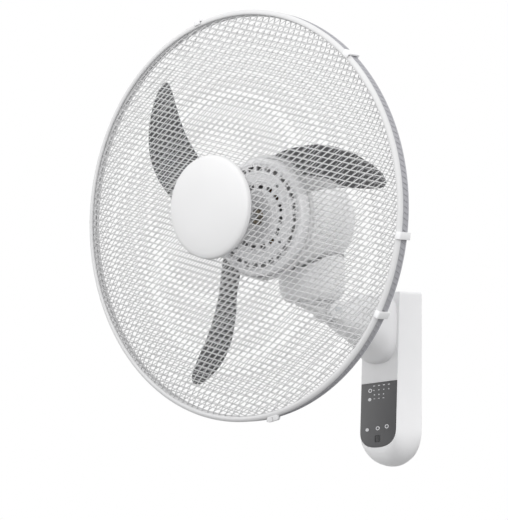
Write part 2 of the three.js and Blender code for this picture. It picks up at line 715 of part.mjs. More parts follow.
// a net of two wire families over a dome, between two radii, as one closed skin
function net(dome, pitch, innerRadius, outerRadius) {
  const [low, high] = [wireAngleLow, wireAngleHigh].map((a) => new THREE.Vector2(Math.cos(a * degree), Math.sin(a * degree)));
  const sine = Math.abs(low.cross(high));
  const step = pitch / sine;
  const half = wireWidth / 2 / sine;
  const points = [];
  const index = [];
  const put = (u, v) => {
    const h = dome(Math.hypot(u, v));
    points.push(new THREE.Vector3(u, -h - wireThickness / 2, v), new THREE.Vector3(u, -h + wireThickness / 2, v));
    return points.length - 2;
  };
  const quad = (a, b, c, d) => index.push(a, b, c, a, c, d);
  const place = (i, j, a, b) => [step * (i * low.x + j * high.x) + a * low.x + b * high.x,
    step * (i * low.y + j * high.y) + a * low.y + b * high.y];
  const inside = (i, j) => {
    const r = Math.hypot(...place(i, j, 0, 0));
    return r > innerRadius + wireWidth && r < outerRadius - wireWidth;
  };
  const knots = new Map();
  const count = Math.ceil((2 * outerRadius) / step);
  for (let i = -count; i <= count; i++) {
    for (let j = -count; j <= count; j++) {
      if (!inside(i, j)) continue;
      const corners = [[1, 1], [-1, 1], [-1, -1], [1, -1]].map(([a, b]) => put(...place(i, j, a * half, b * half)));
      knots.set(`${i},${j}`, corners);
      const [p, q, r, s] = corners;
      quad(p, q, r, s);
      quad(p + 1, s + 1, r + 1, q + 1);
    }
  }
  // a strip from the edge (a, b) of one knot to the edge (c, d) of the next, or to a closed end
  const strip = (a, b, c, d) => {
    quad(a, b, c, d);
    quad(a + 1, d + 1, c + 1, b + 1);
    quad(a, d, d + 1, a + 1);
    quad(b, b + 1, c + 1, c);
  };
  const links = [[1, 0, 0, 3, 1, 2], [0, 1, 1, 0, 2, 3]];
  for (const [key, corners] of knots) {
    const [i, j] = key.split(',').map(Number);
    for (const [di, dj, a, b, c, d] of links) {
      for (const way of [1, -1]) {
        const [from, to] = way > 0 ? [[corners[a], corners[b]], [c, d]] : [[corners[d], corners[c]], [b, a]];
        const next = knots.get(`${i + way * di},${j + way * dj}`);
        if (next) {
          if (way > 0) strip(from[0], from[1], next[to[1]], next[to[0]]);
          continue;
        }
        const ends = from.map((corner) => {
          const start = points[corner];
          const direction = di ? low : high;
          const target = inwardOrOutward(start, direction, way, innerRadius - 2, outerRadius + 2);
          return put(...target);
        });
        strip(from[0], from[1], ends[1], ends[0]);
        quad(ends[0], ends[1], ends[1] + 1, ends[0] + 1);
      }
    }
  }
  const geometry = new THREE.BufferGeometry().setFromPoints(points);
  geometry.setIndex(index);
  return geometry;
}

// where a wire that leaves a knot meets the inner or the outer band
function inwardOrOutward(start, direction, way, innerRadius, outerRadius) {
  const [u, v] = [start.x, start.z];
  const along = way * (u * direction.x + v * direction.y);
  const square = u * u + v * v;
  const reach = (radius) => along * along - square + radius * radius;
  const inward = along < 0 && reach(innerRadius) > 0 ? -along - Math.sqrt(reach(innerRadius)) : Infinity;
  const distance = Math.min(inward, -along + Math.sqrt(reach(outerRadius)));
  return [u + way * direction.x * distance, v + way * direction.y * distance];
}

function guardBand(inner, outer, back, front, segments) {
  return ringOf(inner, outer, back, front, segments);
}

function frontGuard() {
  const plateRadius = capRadius - 4;
  const top = frontDome(capRadius);
  return joined([
    net(frontDome, frontPitch, plateRadius - capRise - 1, wireReach),
    guardBand(wireReach - 1, frontRimRadius, seatGap, rimThickness + 1, guardSegments),
    guardBand(8, plateRadius, top - 2, top + 1.6, 32).translate(0, 0, capRise),
  ]);
}

function rearGuard() {
  const seat = shellFront + seatGap;
  const wallOuter = ringRadius - seatGap;
  const wallInner = wallOuter - ringWall;
  const rim = revolve([
    [wireReach - 1, -rimThickness - 1], [wallInner, -rimThickness - 1], [wallInner, guardBack],
    [wallOuter, guardBack], [wallOuter, ringSkirt - seatGap], [wallInner, ringSkirt - seatGap],
    [wallInner, -seatGap], [wireReach - 1, -seatGap],
  ], guardSegments);
  return cut(joined([
    net(rearDome, rearPitch, coverRadius + 8, wireReach),
    rim,
    guardBand(guardScrewRadius - 4, coverRadius + 9, seat, seat + 2, 32),
    guardBand(coverRadius + 5, coverRadius + 9, seat, rearDome(coverRadius) + 2.4, 32),
  ]), guardScrewPlaces.map(([x, z]) => rodForward(screwRadius + seatGap, -60, 0, x, z, 8)));
}

function guardRing() {
  const inner = ringRadius - ringBand;
  const lip = ringFront - ringWall;
  const band = revolve([
    [inner, lip], [inner + 1, ringFront], [ringRadius - 3, ringFront], [ringRadius, ringFront - 3],
    [ringRadius, ringSkirt], [ringRadius - ringWall, ringSkirt], [ringRadius - ringWall, lip],
  ], guardSegments);
  const [c, s] = [Math.cos(clampAngle * degree), Math.sin(clampAngle * degree)];
  const lugMiddle = (ringFront + ringSkirt) / 2;
  const lug = box(22, ringFront - ringSkirt - 0.4, 9, 0, -lugMiddle, 0).rotateY((90 - clampAngle) * degree)
    .translate((ringRadius + 1) * c, 0, (ringRadius + 1) * s);
  const trim = ringOf(ringRadius - ringWall + 0.5, ringRadius + 20, ringSkirt - 5, ringFront + 5, guardSegments);
  const lugOutside = geometryOf(solidOf(lug).intersect(solidOf(trim)));
  const across = rodAcross(clampScrewRadius + seatGap, -40, 40, -lugMiddle, 0, 10).rotateY((90 - clampAngle) * degree)
    .translate((ringRadius + 2.6) * c, 0, (ringRadius + 2.6) * s);
  return cut(joined([band, lugOutside]), [across]);
}

function guardCap() {
  const skirt = frontDome(capRadius) + wireThickness / 2 + seatGap;
  return revolve([
    [0, capFront], [28, capFront - 1.4], [49, capFront - 5.2], [54.5, capEdge + 2], [capRadius, capEdge],
    [capRadius, skirt], [capRadius - capWall, skirt], [capRadius - capWall, capEdge - 0.6],
    [52, capEdge + 0.4], [28, capFront - 3.6], [0, capFront - capWall],
  ], 32);
}

function buildGuards(parent) {
  piece(parent, 'rear_guard', rearGuard(), wirePaint);
  piece(parent, 'front_guard', frontGuard(), wirePaint);
  piece(parent, 'guard_ring', guardRing(), whitePlastic);
  piece(parent, 'guard_cap', guardCap().translate(0, 0, capRise), whitePlastic);
  guardScrewPlaces.forEach(([x, z], i) => {
    const screw = joined([
      rodForward(screwHeadRadius, coverFace + seatGap, coverFace + seatGap + screwHeadHeight, x, z, 8),
      rodForward(screwRadius, shellFront + 2 * seatGap, coverFace + seatGap + 0.2, x, z, 6),
    ]);
    piece(parent, `guard_screw_${i + 1}`, screw, steel);
  });
  clipAngles.forEach((angle, i) => {
    piece(parent, `ring_clip_${i + 1}`, ringClip().rotateY(-angle * degree), whitePlastic);
  });
  const [c, s] = [Math.cos(clampAngle * degree), Math.sin(clampAngle * degree)];
  const lugMiddle = (ringFront + ringSkirt) / 2;
  const screw = joined([
    rodAcross(clampScrewRadius, -12, 14, -lugMiddle, 0, 8), rodAcross(2 * clampScrewRadius, 11.3, 14, -lugMiddle, 0, 10),
  ]).rotateY((90 - clampAngle) * degree).translate((ringRadius + 2.6) * c, 0, (ringRadius + 2.6) * s);
  piece(parent, 'clamp_screw', screw, steel);
}

// a bent strip that grips the front lip of the trim ring and the back edge of the rear guard
function ringClip() {
  const [near, far] = [ringRadius + seatGap, ringRadius + seatGap + clipThickness];
  const [front, back] = [ringFront + seatGap, guardBack - seatGap];
  const side = new THREE.Shape([
    new THREE.Vector2(near, back), new THREE.Vector2(near, front), new THREE.Vector2(near - 4, front),
    new THREE.Vector2(near - 4, front + 1.6), new THREE.Vector2(far, front + 1.6),
    new THREE.Vector2(far, back - 1.6), new THREE.Vector2(near - 2, back - 1.6), new THREE.Vector2(near - 2, back),
  ]);
  return new THREE.ExtrudeGeometry(side, { depth: clipWidth, bevelEnabled: false })
    .translate(0, 0, -clipWidth / 2).rotateX(Math.PI);
}

// ---- impeller ----
function bladeCurve(stations) {
  return new THREE.CatmullRomCurve3(stations.map(([r, a, h]) => new THREE.Vector3(r, a, h)), false, 'centripetal');
}

function blade(turn) {
  const [crest, straight] = [bladeCurve(crestEdge), bladeCurve(straightEdge)];
  const [spans, chords] = [10, 4];
  const layers = [1, -1].map((side) => {
    const rows = [];
    for (let i = 0; i <= spans; i++) {
      const share = i / spans;
      const [front, back] = [crest.getPoint(share), straight.getPoint(share)];
      const taper = 1 - 0.45 * share;
      const row = [];
      for (let k = 0; k <= chords; k++) {
        const s = k / chords;
        const bow = 4 * s * (1 - s);
        const r = THREE.MathUtils.lerp(front.x, back.x, s);
        const angle = (THREE.MathUtils.lerp(front.y, back.y, s) + turn) * degree;
        const middle = THREE.MathUtils.lerp(front.z, back.z, s) + bladeCamber * bow * taper * (1 - share);
        const thickness = (bladeThickness / 2) * taper * (0.35 + 0.65 * Math.sqrt(bow));
        row.push(new THREE.Vector3(r * Math.cos(angle), -(middle + side * thickness), r * Math.sin(angle)));
      }
      rows.push(row);
    }
    return rows;
  });
  const sections = layers[0].map((row, i) => [...row, ...layers[1][i].slice().reverse()]);
  return loft(sections);
}

function impeller() {
  const hub = revolve([
    [hubRadius, hubBack], [hubRadius, hubFront - 6], [hubRadius - 1.5, hubFront - 2.5], [hubRadius - 5, hubFront],
    [shaftRadius + 4, hubFront], [shaftRadius + seatGap, hubFront], [shaftRadius + seatGap, hubBack + 4],
    [shaftRadius + 4, hubBack + 4], [shaftRadius + 5, hubFront - hubWall],
    [hubRadius - 5.5, hubFront - hubWall], [hubRadius - hubWall, hubFront - 6], [hubRadius - hubWall, hubBack],
  ], 28);
  const blades = Array.from({ length: bladeCount }, (_, i) => blade((i * 360) / bladeCount));
  const bore = rodForward(hubRadius - 1, hubBack - 60, hubFront + 60, 0, 0, 28);
  return joined([hub, ...blades.map((part) => cut(part, [bore]))]);
}

function buildImpeller(parent) {
  const spin = new THREE.Group();
  parent.add(spin);
  piece(spin, 'impeller', impeller(), smokyPlastic);
  const shaftBack = bracketFace - bearingLength - 3;
  piece(spin, 'motor_shaft', rodForward(shaftRadius, shaftBack, hubFront + 12, 0, 0, 16), steel);
  piece(spin, 'rotor', ringOf(shaftRadius + seatGap, statorBore - 0.6, statorBack, statorFront, 28), coreSteel);
  const nut = revolve([
    [shaftRadius + seatGap, hubFront + seatGap], [13, hubFront + seatGap], [13, hubFront + 8], [10, hubFront + 13],
    [0, hubFront + 15], [0, hubFront + 12.6], [shaftRadius + seatGap, hubFront + 12.6],
  ], 20);
  piece(spin, 'spinner_nut', nut, smokyPlastic);
}

// ---- assembly ----
const group = new THREE.Group();
buildBox(group);
const swivel = buildNeck(group);
const turned = new THREE.Group();
turned.rotation.z = headYaw * degree;
swivel.add(turned);
const head = new THREE.Group();
head.position.set(0, -ringAhead, axisHeight);
turned.add(head);
buildMotor(head);
buildGuards(head);
buildImpeller(head);

export default group;
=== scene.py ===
import functools
import json
import math

import bmesh
import bpy
from mathutils import Matrix, Vector

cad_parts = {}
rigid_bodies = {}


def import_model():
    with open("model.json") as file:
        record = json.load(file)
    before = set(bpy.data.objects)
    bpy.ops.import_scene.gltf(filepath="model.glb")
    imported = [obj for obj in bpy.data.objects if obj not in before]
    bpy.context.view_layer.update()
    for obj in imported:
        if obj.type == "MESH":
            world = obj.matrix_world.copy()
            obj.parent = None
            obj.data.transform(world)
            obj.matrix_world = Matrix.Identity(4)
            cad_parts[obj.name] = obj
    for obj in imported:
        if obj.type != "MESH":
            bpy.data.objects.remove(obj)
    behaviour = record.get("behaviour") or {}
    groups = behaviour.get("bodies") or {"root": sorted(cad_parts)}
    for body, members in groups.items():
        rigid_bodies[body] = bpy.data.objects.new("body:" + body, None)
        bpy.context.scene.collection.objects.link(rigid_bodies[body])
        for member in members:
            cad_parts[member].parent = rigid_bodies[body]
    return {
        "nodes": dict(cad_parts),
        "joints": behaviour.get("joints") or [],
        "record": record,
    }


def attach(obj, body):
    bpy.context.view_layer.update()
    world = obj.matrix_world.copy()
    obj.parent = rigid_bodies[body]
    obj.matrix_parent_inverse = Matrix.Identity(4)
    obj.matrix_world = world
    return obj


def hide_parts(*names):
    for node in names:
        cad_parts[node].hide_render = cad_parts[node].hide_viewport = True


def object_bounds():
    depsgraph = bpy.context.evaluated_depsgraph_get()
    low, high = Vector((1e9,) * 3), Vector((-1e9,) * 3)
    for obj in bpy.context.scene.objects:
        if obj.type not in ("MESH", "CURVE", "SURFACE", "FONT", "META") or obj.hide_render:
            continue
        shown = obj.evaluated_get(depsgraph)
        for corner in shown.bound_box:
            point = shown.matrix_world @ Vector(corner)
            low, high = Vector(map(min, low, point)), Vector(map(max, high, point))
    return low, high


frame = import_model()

bl_info = {
    "name": "Wall Mounted Fan",
    "version": (1, 0, 0),
    "blender": (4, 5, 0),
    "location": "3D View > Sidebar > Wall Fan",
    "description": "Dresses the packed wall fan with its meshes, mouldings, finishes and studio",
    "category": "Object",
}

CAD_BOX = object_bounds()
JOINTS = {joint["name"]: joint for joint in frame["joints"]}
MM = 0.001

# ---- frames of the turned parts

FAN_AXIS = Vector(JOINTS["impeller_spin"]["axis"]).normalized()
FAN_CENTRE = Vector(JOINTS["impeller_spin"]["pos_m"])
SWIVEL_AXIS = Vector(JOINTS["oscillation"]["axis"]).normalized()
SWIVEL_POINT = Vector(JOINTS["oscillation"]["pos_m"])
TILT_POINT = Vector(JOINTS["tilt"]["pos_m"])
FAN_RIGHT = SWIVEL_AXIS.cross(FAN_AXIS).normalized()
NECK_BACK = SWIVEL_AXIS.cross(Vector((1, 0, 0))).normalized()


def frame_of(right, up, forward, origin):
    """Matrix from millimetres along right, up and forward to the row frame in metres."""
    columns = Matrix((right, up, forward)).transposed().to_4x4()
    return Matrix.Translation(origin) @ columns @ Matrix.Scale(MM, 4)


HEAD = frame_of(FAN_RIGHT, SWIVEL_AXIS, FAN_AXIS, FAN_CENTRE)
SWIVEL_HEIGHT = 100.0  # of the swivel joint over the foot that its heights start from
SWIVEL_FOOT = SWIVEL_POINT - SWIVEL_AXIS * (SWIVEL_HEIGHT * MM)
SWIVEL = frame_of(FAN_RIGHT, -FAN_AXIS, SWIVEL_AXIS, SWIVEL_FOOT)
NECK = frame_of(Vector((1, 0, 0)), NECK_BACK, SWIVEL_AXIS, TILT_POINT)
ROW = Matrix.Scale(MM, 4)

# ---- mesh building

MERGE = 0.0005  # millimetres under which two points are one


def mesh_from(name, points, faces):
    mesh = bpy.data.meshes.new(name)
    mesh.from_pydata([tuple(p) for p in points], [], faces)
    mesh.validate()
    return mesh


def tidy(mesh):
    """The mesh without doubled points and needle faces, its faces turned outwards."""
    work = bmesh.new()
    work.from_mesh(mesh)
    bmesh.ops.remove_doubles(work, verts=work.verts, dist=MERGE)
    bmesh.ops.dissolve_degenerate(work, edges=work.edges, dist=MERGE)
    bmesh.ops.recalc_face_normals(work, faces=work.faces)
    work.to_mesh(mesh)
    work.free()
    return mesh


def revolved(profile, segments=96, out=0.0, up=0.0):
    """Closed skin from a profile turned about the third axis, moved out and up."""
    points, faces = [], []
    count = len(profile)
    for i in range(segments):
        angle = 2 * math.pi * i / segments
        for side, height in profile:
            radius = out + side
            points.append((radius * math.cos(angle), radius * math.sin(angle), up + height))
    for i in range(segments):
        j = (i + 1) % segments
        for k in range(count):
            m = (k + 1) % count
            faces.append((i * count + k, j * count + k, j * count + m, i * count + m))
    return tidy(mesh_from("revolved", points, faces))


def lofted(rings):
    """Closed skin through rings of equally many points."""
    count = len(rings[0])
    points = [p for ring in rings for p in ring]
    faces = []
    for k in range(len(rings) - 1):
        for i in range(count):
            j = (i + 1) % count
            faces.append((k * count + i, k * count + j, (k + 1) * count + j, (k + 1) * count + i))
    faces.append(tuple(reversed(range(count))))
    last = (len(rings) - 1) * count
    faces.append(tuple(range(last, last + count)))
    return tidy(mesh_from("lofted", points, faces))


def prism(outline, low, high):
    """Upright skin over an outline in the first two axes."""
    return lofted([[(x, y, low) for x, y in outline], [(x, y, high) for x, y in outline]])


def disc_outline(radius, segments):
    turns = [2 * math.pi * i / segments for i in range(segments)]
    return [(radius * math.cos(turn), radius * math.sin(turn)) for turn in turns]


def rounded_outline(width, height, radius, steps=6):
    outline = []
    corners = ((1, 1, 0), (-1, 1, 90), (-1, -1, 180), (1, -1, 270))
    for side_x, side_y, start in corners:
        for i in range(steps + 1):
            angle = math.radians(start + 90 * i / steps)
            outline.append((
                side_x * (width / 2 - radius) + radius * math.cos(angle),
                side_y * (height / 2 - radius) + radius * math.sin(angle)))
    return outline


def filleted(radius, low, high, fillet, steps):
    """Half profile of a rod with rounded ends, on the axis."""
    core = radius - fillet
    angles = [math.pi / 2 * i / steps for i in range(steps + 1)]
    foot = [(core + fillet * math.sin(a), low + fillet - fillet * math.cos(a)) for a in angles]
    head = [(core + fillet * math.cos(a), high - fillet + fillet * math.sin(a)) for a in angles]
    return [(0.0, low), *foot, *head, (0.0, high)]


def smooth_profile(points, steps=6):
    """Catmull-Rom curve through the points of an open profile."""
    curve = []
    padded = [points[0], *points, points[-1]]
    for a, b, c, d in zip(padded, padded[1:], padded[2:], padded[3:]):
        for i in range(steps):
            t = i / steps
            curve.append(tuple(
                0.5 * (2 * q + (r - p) * t + (2 * p - 5 * q + 4 * r - s) * t * t
                       + (3 * q - p - 3 * r + s) * t ** 3)
                for p, q, r, s in zip(a, b, c, d)))
    curve.append(points[-1])
    return curve


def merged(meshes):
    work = bmesh.new()
    for mesh in meshes:
        work.from_mesh(mesh)
    whole = bpy.data.meshes.new("merged")
    work.to_mesh(whole)
    work.free()
    return whole


def shift(x, y, z):
    return Matrix.Translation((x, y, z))


def spin(degrees, axis="Z"):
    return Matrix.Rotation(math.radians(degrees), 4, axis)


def out_at(degrees, radius, forward=0.0):
    """Place at an angle and a radius round the third axis."""
    return spin(degrees) @ shift(radius, 0, forward)


def turned(mesh, matrix):
    mesh.transform(matrix)
    return mesh


def added(name, data):
    """A new object in the scene."""
    made = bpy.data.objects.new(name, data)
    bpy.context.scene.collection.objects.link(made)
    return made


def carved(mesh, tools, operation="DIFFERENCE"):
    """The mesh after an exact boolean with each tool."""
    holder = added("tool", mesh)
    cutters = [added("tool", tool) for tool in tools]
    for cutter in cutters:
        step = holder.modifiers.new("cut", "BOOLEAN")
        step.operation = operation
        step.solver = "EXACT"
        step.object = cutter
    result = baked(holder)
    for cutter in cutters:
        bpy.data.objects.remove(cutter)
    return result


def baked(holder):
    """Plain mesh of an object with its modifiers, and the object removed."""
    bpy.context.view_layer.update()
    graph = bpy.context.evaluated_depsgraph_get()
    mesh = bpy.data.meshes.new_from_object(holder.evaluated_get(graph))
    bpy.data.objects.remove(holder)
    return mesh


def bevelled(mesh, width, angle):
    """The mesh with its edges sharper than angle rounded off."""
    holder = added("tool", mesh)
    step = holder.modifiers.new("edge", "BEVEL")
    step.width = width
    step.segments = 2
    step.limit_method = "ANGLE"
    step.angle_limit = math.radians(angle)
    step.use_clamp_overlap = True
    return baked(holder)


def placed(name, mesh, body, slot, matrix=ROW, paint=None, crease=32.0):
    """A finished piece in the row frame, in place of the node of its name if there is one.

    paint names a finish other than the slot's."""
    mesh.name = name
    mesh.transform(matrix)
    mesh.update()
    mesh.materials.clear()
    mesh.materials.append(finish(paint or slot))
    work = bmesh.new()
    work.from_mesh(mesh)
    limit = math.radians(crease)
    for face in work.faces:
        face.smooth = True
    for edge in work.edges:
        edge.smooth = len(edge.link_faces) == 2 and edge.calc_face_angle(0.0) < limit
    work.to_mesh(mesh)
    work.free()
    piece = added(name, mesh)
    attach(piece, body)
    if name in frame["nodes"]:
        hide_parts(name)


# ---- finishes


def feed(tree, target, source):
    """Link an input to a socket, or set it to a value."""
    if isinstance(source, bpy.types.NodeSocket):
        tree.links.new(source, target)
    else:
        target.default_value = source


def wired(tree, kind, inputs=None, **values):
    """A new node with its settings and its inputs fed."""
    made = tree.nodes.new(kind)
    for key, value in values.items():
        setattr(made, key, value)
    for key, source in (inputs or {}).items():
        feed(tree, made.inputs[key], source)
    return made


class Shader:
    """A few calls that keep a node tree readable."""

    def __init__(self, name):
        self.material = bpy.data.materials.new(name)
        self.material.use_nodes = True
        self.tree = self.material.node_tree
        self.surface = self.tree.nodes["Principled BSDF"]
        self.place = self.add("ShaderNodeTexCoord").outputs["Object"]

    def add(self, kind, inputs=None, **values):
        return wired(self.tree, kind, inputs, **values)

    def put(self, **inputs):
        """Feed the surface's inputs; an underscore stands for a space."""
        for name, source in inputs.items():
            feed(self.tree, self.surface.inputs[name.replace("_", " ")], source)

    def noise(self, scale, detail=4.0, stretch=None):
        place = self.place
        if stretch:
            place = self.add("ShaderNodeMapping", {"Scale": stretch, "Vector": place}).outputs[0]
        return self.add("ShaderNodeTexNoise", {
            "Scale": scale, "Detail": detail, "Roughness": 0.55, "Vector": place}).outputs["Fac"]

    def ramp(self, source, stops):
        node = self.add("ShaderNodeValToRGB", {"Fac": source})
        while len(node.color_ramp.elements) < len(stops):
            node.color_ramp.elements.new(0.5)
        for element, (position, color) in zip(node.color_ramp.elements, stops):
            element.position = position
            element.color = (*color, 1.0)
        return node.outputs["Color"]

    def span(self, source, low, high):
        return self.add("ShaderNodeMapRange", {
            "To Min": low, "To Max": high, "Value": source}).outputs["Result"]

    def bump(self, source, strength, distance):
        self.put(Normal=self.add("ShaderNodeBump", {
            "Strength": strength, "Distance": distance, "Height": source}).outputs["Normal"])


def shade(color, factor):
    return tuple(min(1.0, channel * factor) for channel in color)


def moulded_plastic(name, color, roughness, grain=0.00003, variation=0.02, coat=0.0):
    """Moulded plastic: faint flow marks in the colour, uneven gloss and a fine grain."""
    shader = Shader(name)
    flow = ((0.3, shade(color, 1 - variation)), (0.7, shade(color, 1 + variation)))
    shader.put(
        Base_Color=shader.ramp(shader.noise(9.0, 3.0), flow),
        Roughness=shader.span(shader.noise(38.0, 5.0), roughness - 0.06, roughness + 0.06),
        Coat_Weight=coat, Coat_Roughness=0.08)
    shader.bump(shader.noise(900.0, 2.0), 0.35, grain)
    return shader


def smoky_plastic(name, color, hub_alpha, root_alpha, tip_alpha):
    """Tinted see-through plastic, thinnest at the blade roots and deeper at hub and tips."""
    shader = moulded_plastic(name, color, 0.2, 0.00001, 0.12, 0.3)
    reach = shader.add("ShaderNodeVectorMath", {
        0: shader.place, 1: FAN_CENTRE}, operation="DISTANCE")
    share = shader.add("ShaderNodeMapRange", {
        "From Max": SMOKE_REACH, "Value": reach.outputs["Value"]})
    steps = ((0.19, hub_alpha), (0.22, root_alpha), (0.43, root_alpha), (0.53, tip_alpha))
    stops = [(position, (alpha,) * 3) for position, alpha in steps]
    shader.put(Alpha=shader.ramp(share.outputs["Result"], stops))
    return shader


def worked_metal(name, color, roughness, stretch=(1.0, 1.0, 1.0), grain=0.00004):
    """Plated or turned metal: fine lines one way and cloudy roughness."""
    shader = Shader(name)
    clouds = ((0.25, shade(color, 0.86)), (0.75, shade(color, 1.06)))
    lines = shader.noise(160.0, 3.0, stretch)
    shader.put(Metallic=1.0, Base_Color=shader.ramp(shader.noise(60.0), clouds),
               Roughness=shader.span(lines, roughness - 0.1, roughness + 0.12))
    shader.bump(lines, 0.25, grain)
    return shader


def wound_copper(name, dark, bright):
    """Enamelled wire: close turns as fine ridges."""
    shader = Shader(name)
    turns = shader.add("ShaderNodeTexWave", {
        "Scale": 420.0, "Distortion": 1.5, "Vector": shader.place},
        wave_type="BANDS", bands_direction="DIAGONAL").outputs["Fac"]
    shader.put(Metallic=0.85, Base_Color=shader.ramp(turns, ((0.1, dark), (0.8, bright))),
               Roughness=0.35)
    shader.bump(turns, 0.6, 0.0003)
    return shader


SMOKE_REACH = 0.2  # metres from the fan's centre to the end of the tint's steps

# Each finish: its maker, then the maker's own values.
RECIPES = {
    "white_plastic": (moulded_plastic, (0.87, 0.87, 0.88), 0.38, 0.00003, 0.02, 0.15),
    "cap_plastic": (moulded_plastic, (0.76, 0.76, 0.765), 0.5),
    "trim_plastic": (moulded_plastic, (0.70, 0.70, 0.705), 0.55),
    "wire_paint": (moulded_plastic, (0.66, 0.66, 0.665), 0.42, 0.00002, 0.015),
    # a darker grey than wire_paint for the guard's side wall and its liner: painted shade
    "side_paint": (moulded_plastic, (0.42, 0.42, 0.445), 0.5, 0.00002),
    "dark_panel": (moulded_plastic, (0.027, 0.027, 0.031), 0.42, 0.00001, 0.05, 0.1),
    "black_plastic": (moulded_plastic, (0.014, 0.014, 0.016), 0.5, 0.00002, 0.1),
    "green_board": (moulded_plastic, (0.012, 0.10, 0.035), 0.5, 0.00005, 0.2),
    "nylon": (moulded_plastic, (0.66, 0.64, 0.56), 0.48, 0.00004, 0.04),
    "lamp_grey": (moulded_plastic, (0.72, 0.72, 0.74), 0.4, 0.00001, 0.03),
    "smoky_plastic": (smoky_plastic, (0.050, 0.052, 0.060), 0.12, 0.03, 0.21),
    "steel": (worked_metal, (0.60, 0.61, 0.62), 0.28, (1.0, 1.0, 18.0)),
    "zinc_steel": (worked_metal, (0.63, 0.65, 0.67), 0.36),
    "core_steel": (worked_metal, (0.27, 0.28, 0.30), 0.45, (1.0, 30.0, 1.0), 0.0001),
    "bronze": (worked_metal, (0.50, 0.44, 0.34), 0.42),
    "copper": (wound_copper, (0.22, 0.09, 0.035), (0.66, 0.32, 0.14)),
}
FINISHES = {}


def finish(slot):
    """The finish of a material slot, made once."""
    if slot not in FINISHES:
        maker, *values = RECIPES[slot]
        FINISHES[slot] = maker(slot, *values).material
    return FINISHES[slot]


# ---- forms shared with the solids

BOX_HALF = 48.0
BOX_TOP = 99.0
BOX_DEPTH = 29.0
BOX_LEAN = 0.026
CHIN_SHOULDER = -54.0
CHIN_FRONT = 21.0
CHIN_BELLY = 42.0
CHIN_HEEL = 6.0
CHIN_BEND = 2.2
CORNER = 4.0
CORNER_STEPS = 8
CHIN_STEPS = 56
EDGE = 1.3
BACK_PLANE = 0.3
FACE_TURN = math.radians(90) - math.atan(BOX_LEAN)


def depth_at(z):
    return BOX_DEPTH + BOX_LEAN * (BOX_TOP - z)


def chin_drop(t):
    heel = CHIN_HEEL * max(0.0, 1 - t / 0.4) ** 2
    return CHIN_FRONT + (CHIN_BELLY - CHIN_FRONT) * (1 - t ** 3.2) ** (1 / CHIN_BEND) - heel


def box_outline(t, inset):
    """Outline of the box in x and z at depth fraction t, drawn in by inset."""
    half = BOX_HALF - inset
    top = BOX_TOP - inset
    corner = max(CORNER - inset, 0.8)
    drop = chin_drop(t) - inset
    power = CHIN_BEND + 0.3 * t
    outline = []
    for centre, start in ((half - corner, 0), (-half + corner, 90)):
        for i in range(CORNER_STEPS + 1):
            angle = math.radians(start + 90 * i / CORNER_STEPS)
            outline.append((
                centre + corner * math.cos(angle), top - corner + corner * math.sin(angle)))
    for i in range(CHIN_STEPS + 1):
        angle = math.pi * (1 + i / CHIN_STEPS)
        across, down = math.cos(angle), abs(math.sin(angle))
        x = half * math.copysign(abs(across) ** (2 / power), across)
        outline.append((x, CHIN_SHOULDER - drop * down ** (2 / power)))
    return outline


def box_skin(back):
    """The box's outer form, with a rounded front edge and a small rear one."""
    stations = [(0.0, 0.5), (0.02, 0.0)]
    stations += [(i / 26, 0.0) for i in range(2, 25)]
    stations += [(0.95, 0.0), (0.972, 0.04)]
    stations += [(1.0 - 0.026 * (1 - math.sin(a)), EDGE * (1 - math.cos(a)))
                 for a in (math.pi / 2 * k / 6 for k in range(1, 7))]
    return lofted([[(x, -(back + s * (depth_at(z) - back)), z) for x, z in box_outline(s, inset)]
                   for s, inset in stations])


def clipped_below(outline, top):
    """The part of a closed outline under a height, with its two new corners."""
    kept = []
    for (x0, z0), (x1, z1) in zip(outline, outline[1:] + outline[:1]):
        if z0 <= top:
            kept.append((x0, z0))
        if (z0 <= top) != (z1 <= top):
            share = (top - z0) / (z1 - z0)
            kept.append((x0 + share * (x1 - x0), top))
    return kept


def face_slab(inset, front, behind, top, edge=0.0):
    """A layer of the leaning face between two depths, its front edge broken by edge."""
    layers = [(behind, inset)]
    layers += [(front + edge * (1 - math.sin(a)), inset + edge * (1 - math.cos(a)))
               for a in (math.pi / 2 * k / 4 for k in range(5))] if edge else [(front, inset)]
    rings = []
    for depth, drawn in layers:
        outline = clipped_below(box_outline(1.0, drawn), top - (drawn - inset))
        rings.append([(x, -(depth_at(z) - depth), z) for x, z in outline])
    return lofted(rings)


# ---- geometry nodes

NET_POINTS = 72  # along each row of the guard mesh


class Builder:
    """Short calls for building a geometry node tree."""

    def __init__(self, name):
        self.tree = bpy.data.node_groups.new(name, "GeometryNodeTree")
        self.tree.interface.new_socket(
            "Geometry", in_out="OUTPUT", socket_type="NodeSocketGeometry")
        self.inlet = self.tree.nodes.new("NodeGroupInput")
        self.outlet = self.tree.nodes.new("NodeGroupOutput")
        self.ids = {}

    def input(self, name, kind="NodeSocketFloat"):
        socket = self.tree.interface.new_socket(name, in_out="INPUT", socket_type=kind)
        self.ids[name] = socket.identifier
        return self.inlet.outputs[name]

    def node(self, kind, inputs=None, **values):
        """The first output of a new node."""
        return wired(self.tree, kind, inputs, **values).outputs[0]

    def math(self, operation, a, b=0.0):
        return self.node("ShaderNodeMath", {0: a, 1: b}, operation=operation)

    def vector(self, x=0.0, y=0.0, z=0.0):
        return self.node("ShaderNodeCombineXYZ", {0: x, 1: y, 2: z})

    def place(self):
        """The first two coordinates of each point."""
        spot = self.node("GeometryNodeInputPosition")
        return wired(self.tree, "ShaderNodeSeparateXYZ", {0: spot}).outputs[:2]

    def length(self, x, y):
        squares = [self.math("MULTIPLY", side, side) for side in (x, y)]
        return self.math("SQRT", self.math("ADD", *squares))

    def finish(self, geometry, material):
        real = self.node("GeometryNodeRealizeInstances", {"Geometry": geometry})
        painted = self.node("GeometryNodeSetMaterial", {
            "Geometry": real, "Material": material})
        self.tree.links.new(painted, self.outlet.inputs[0])


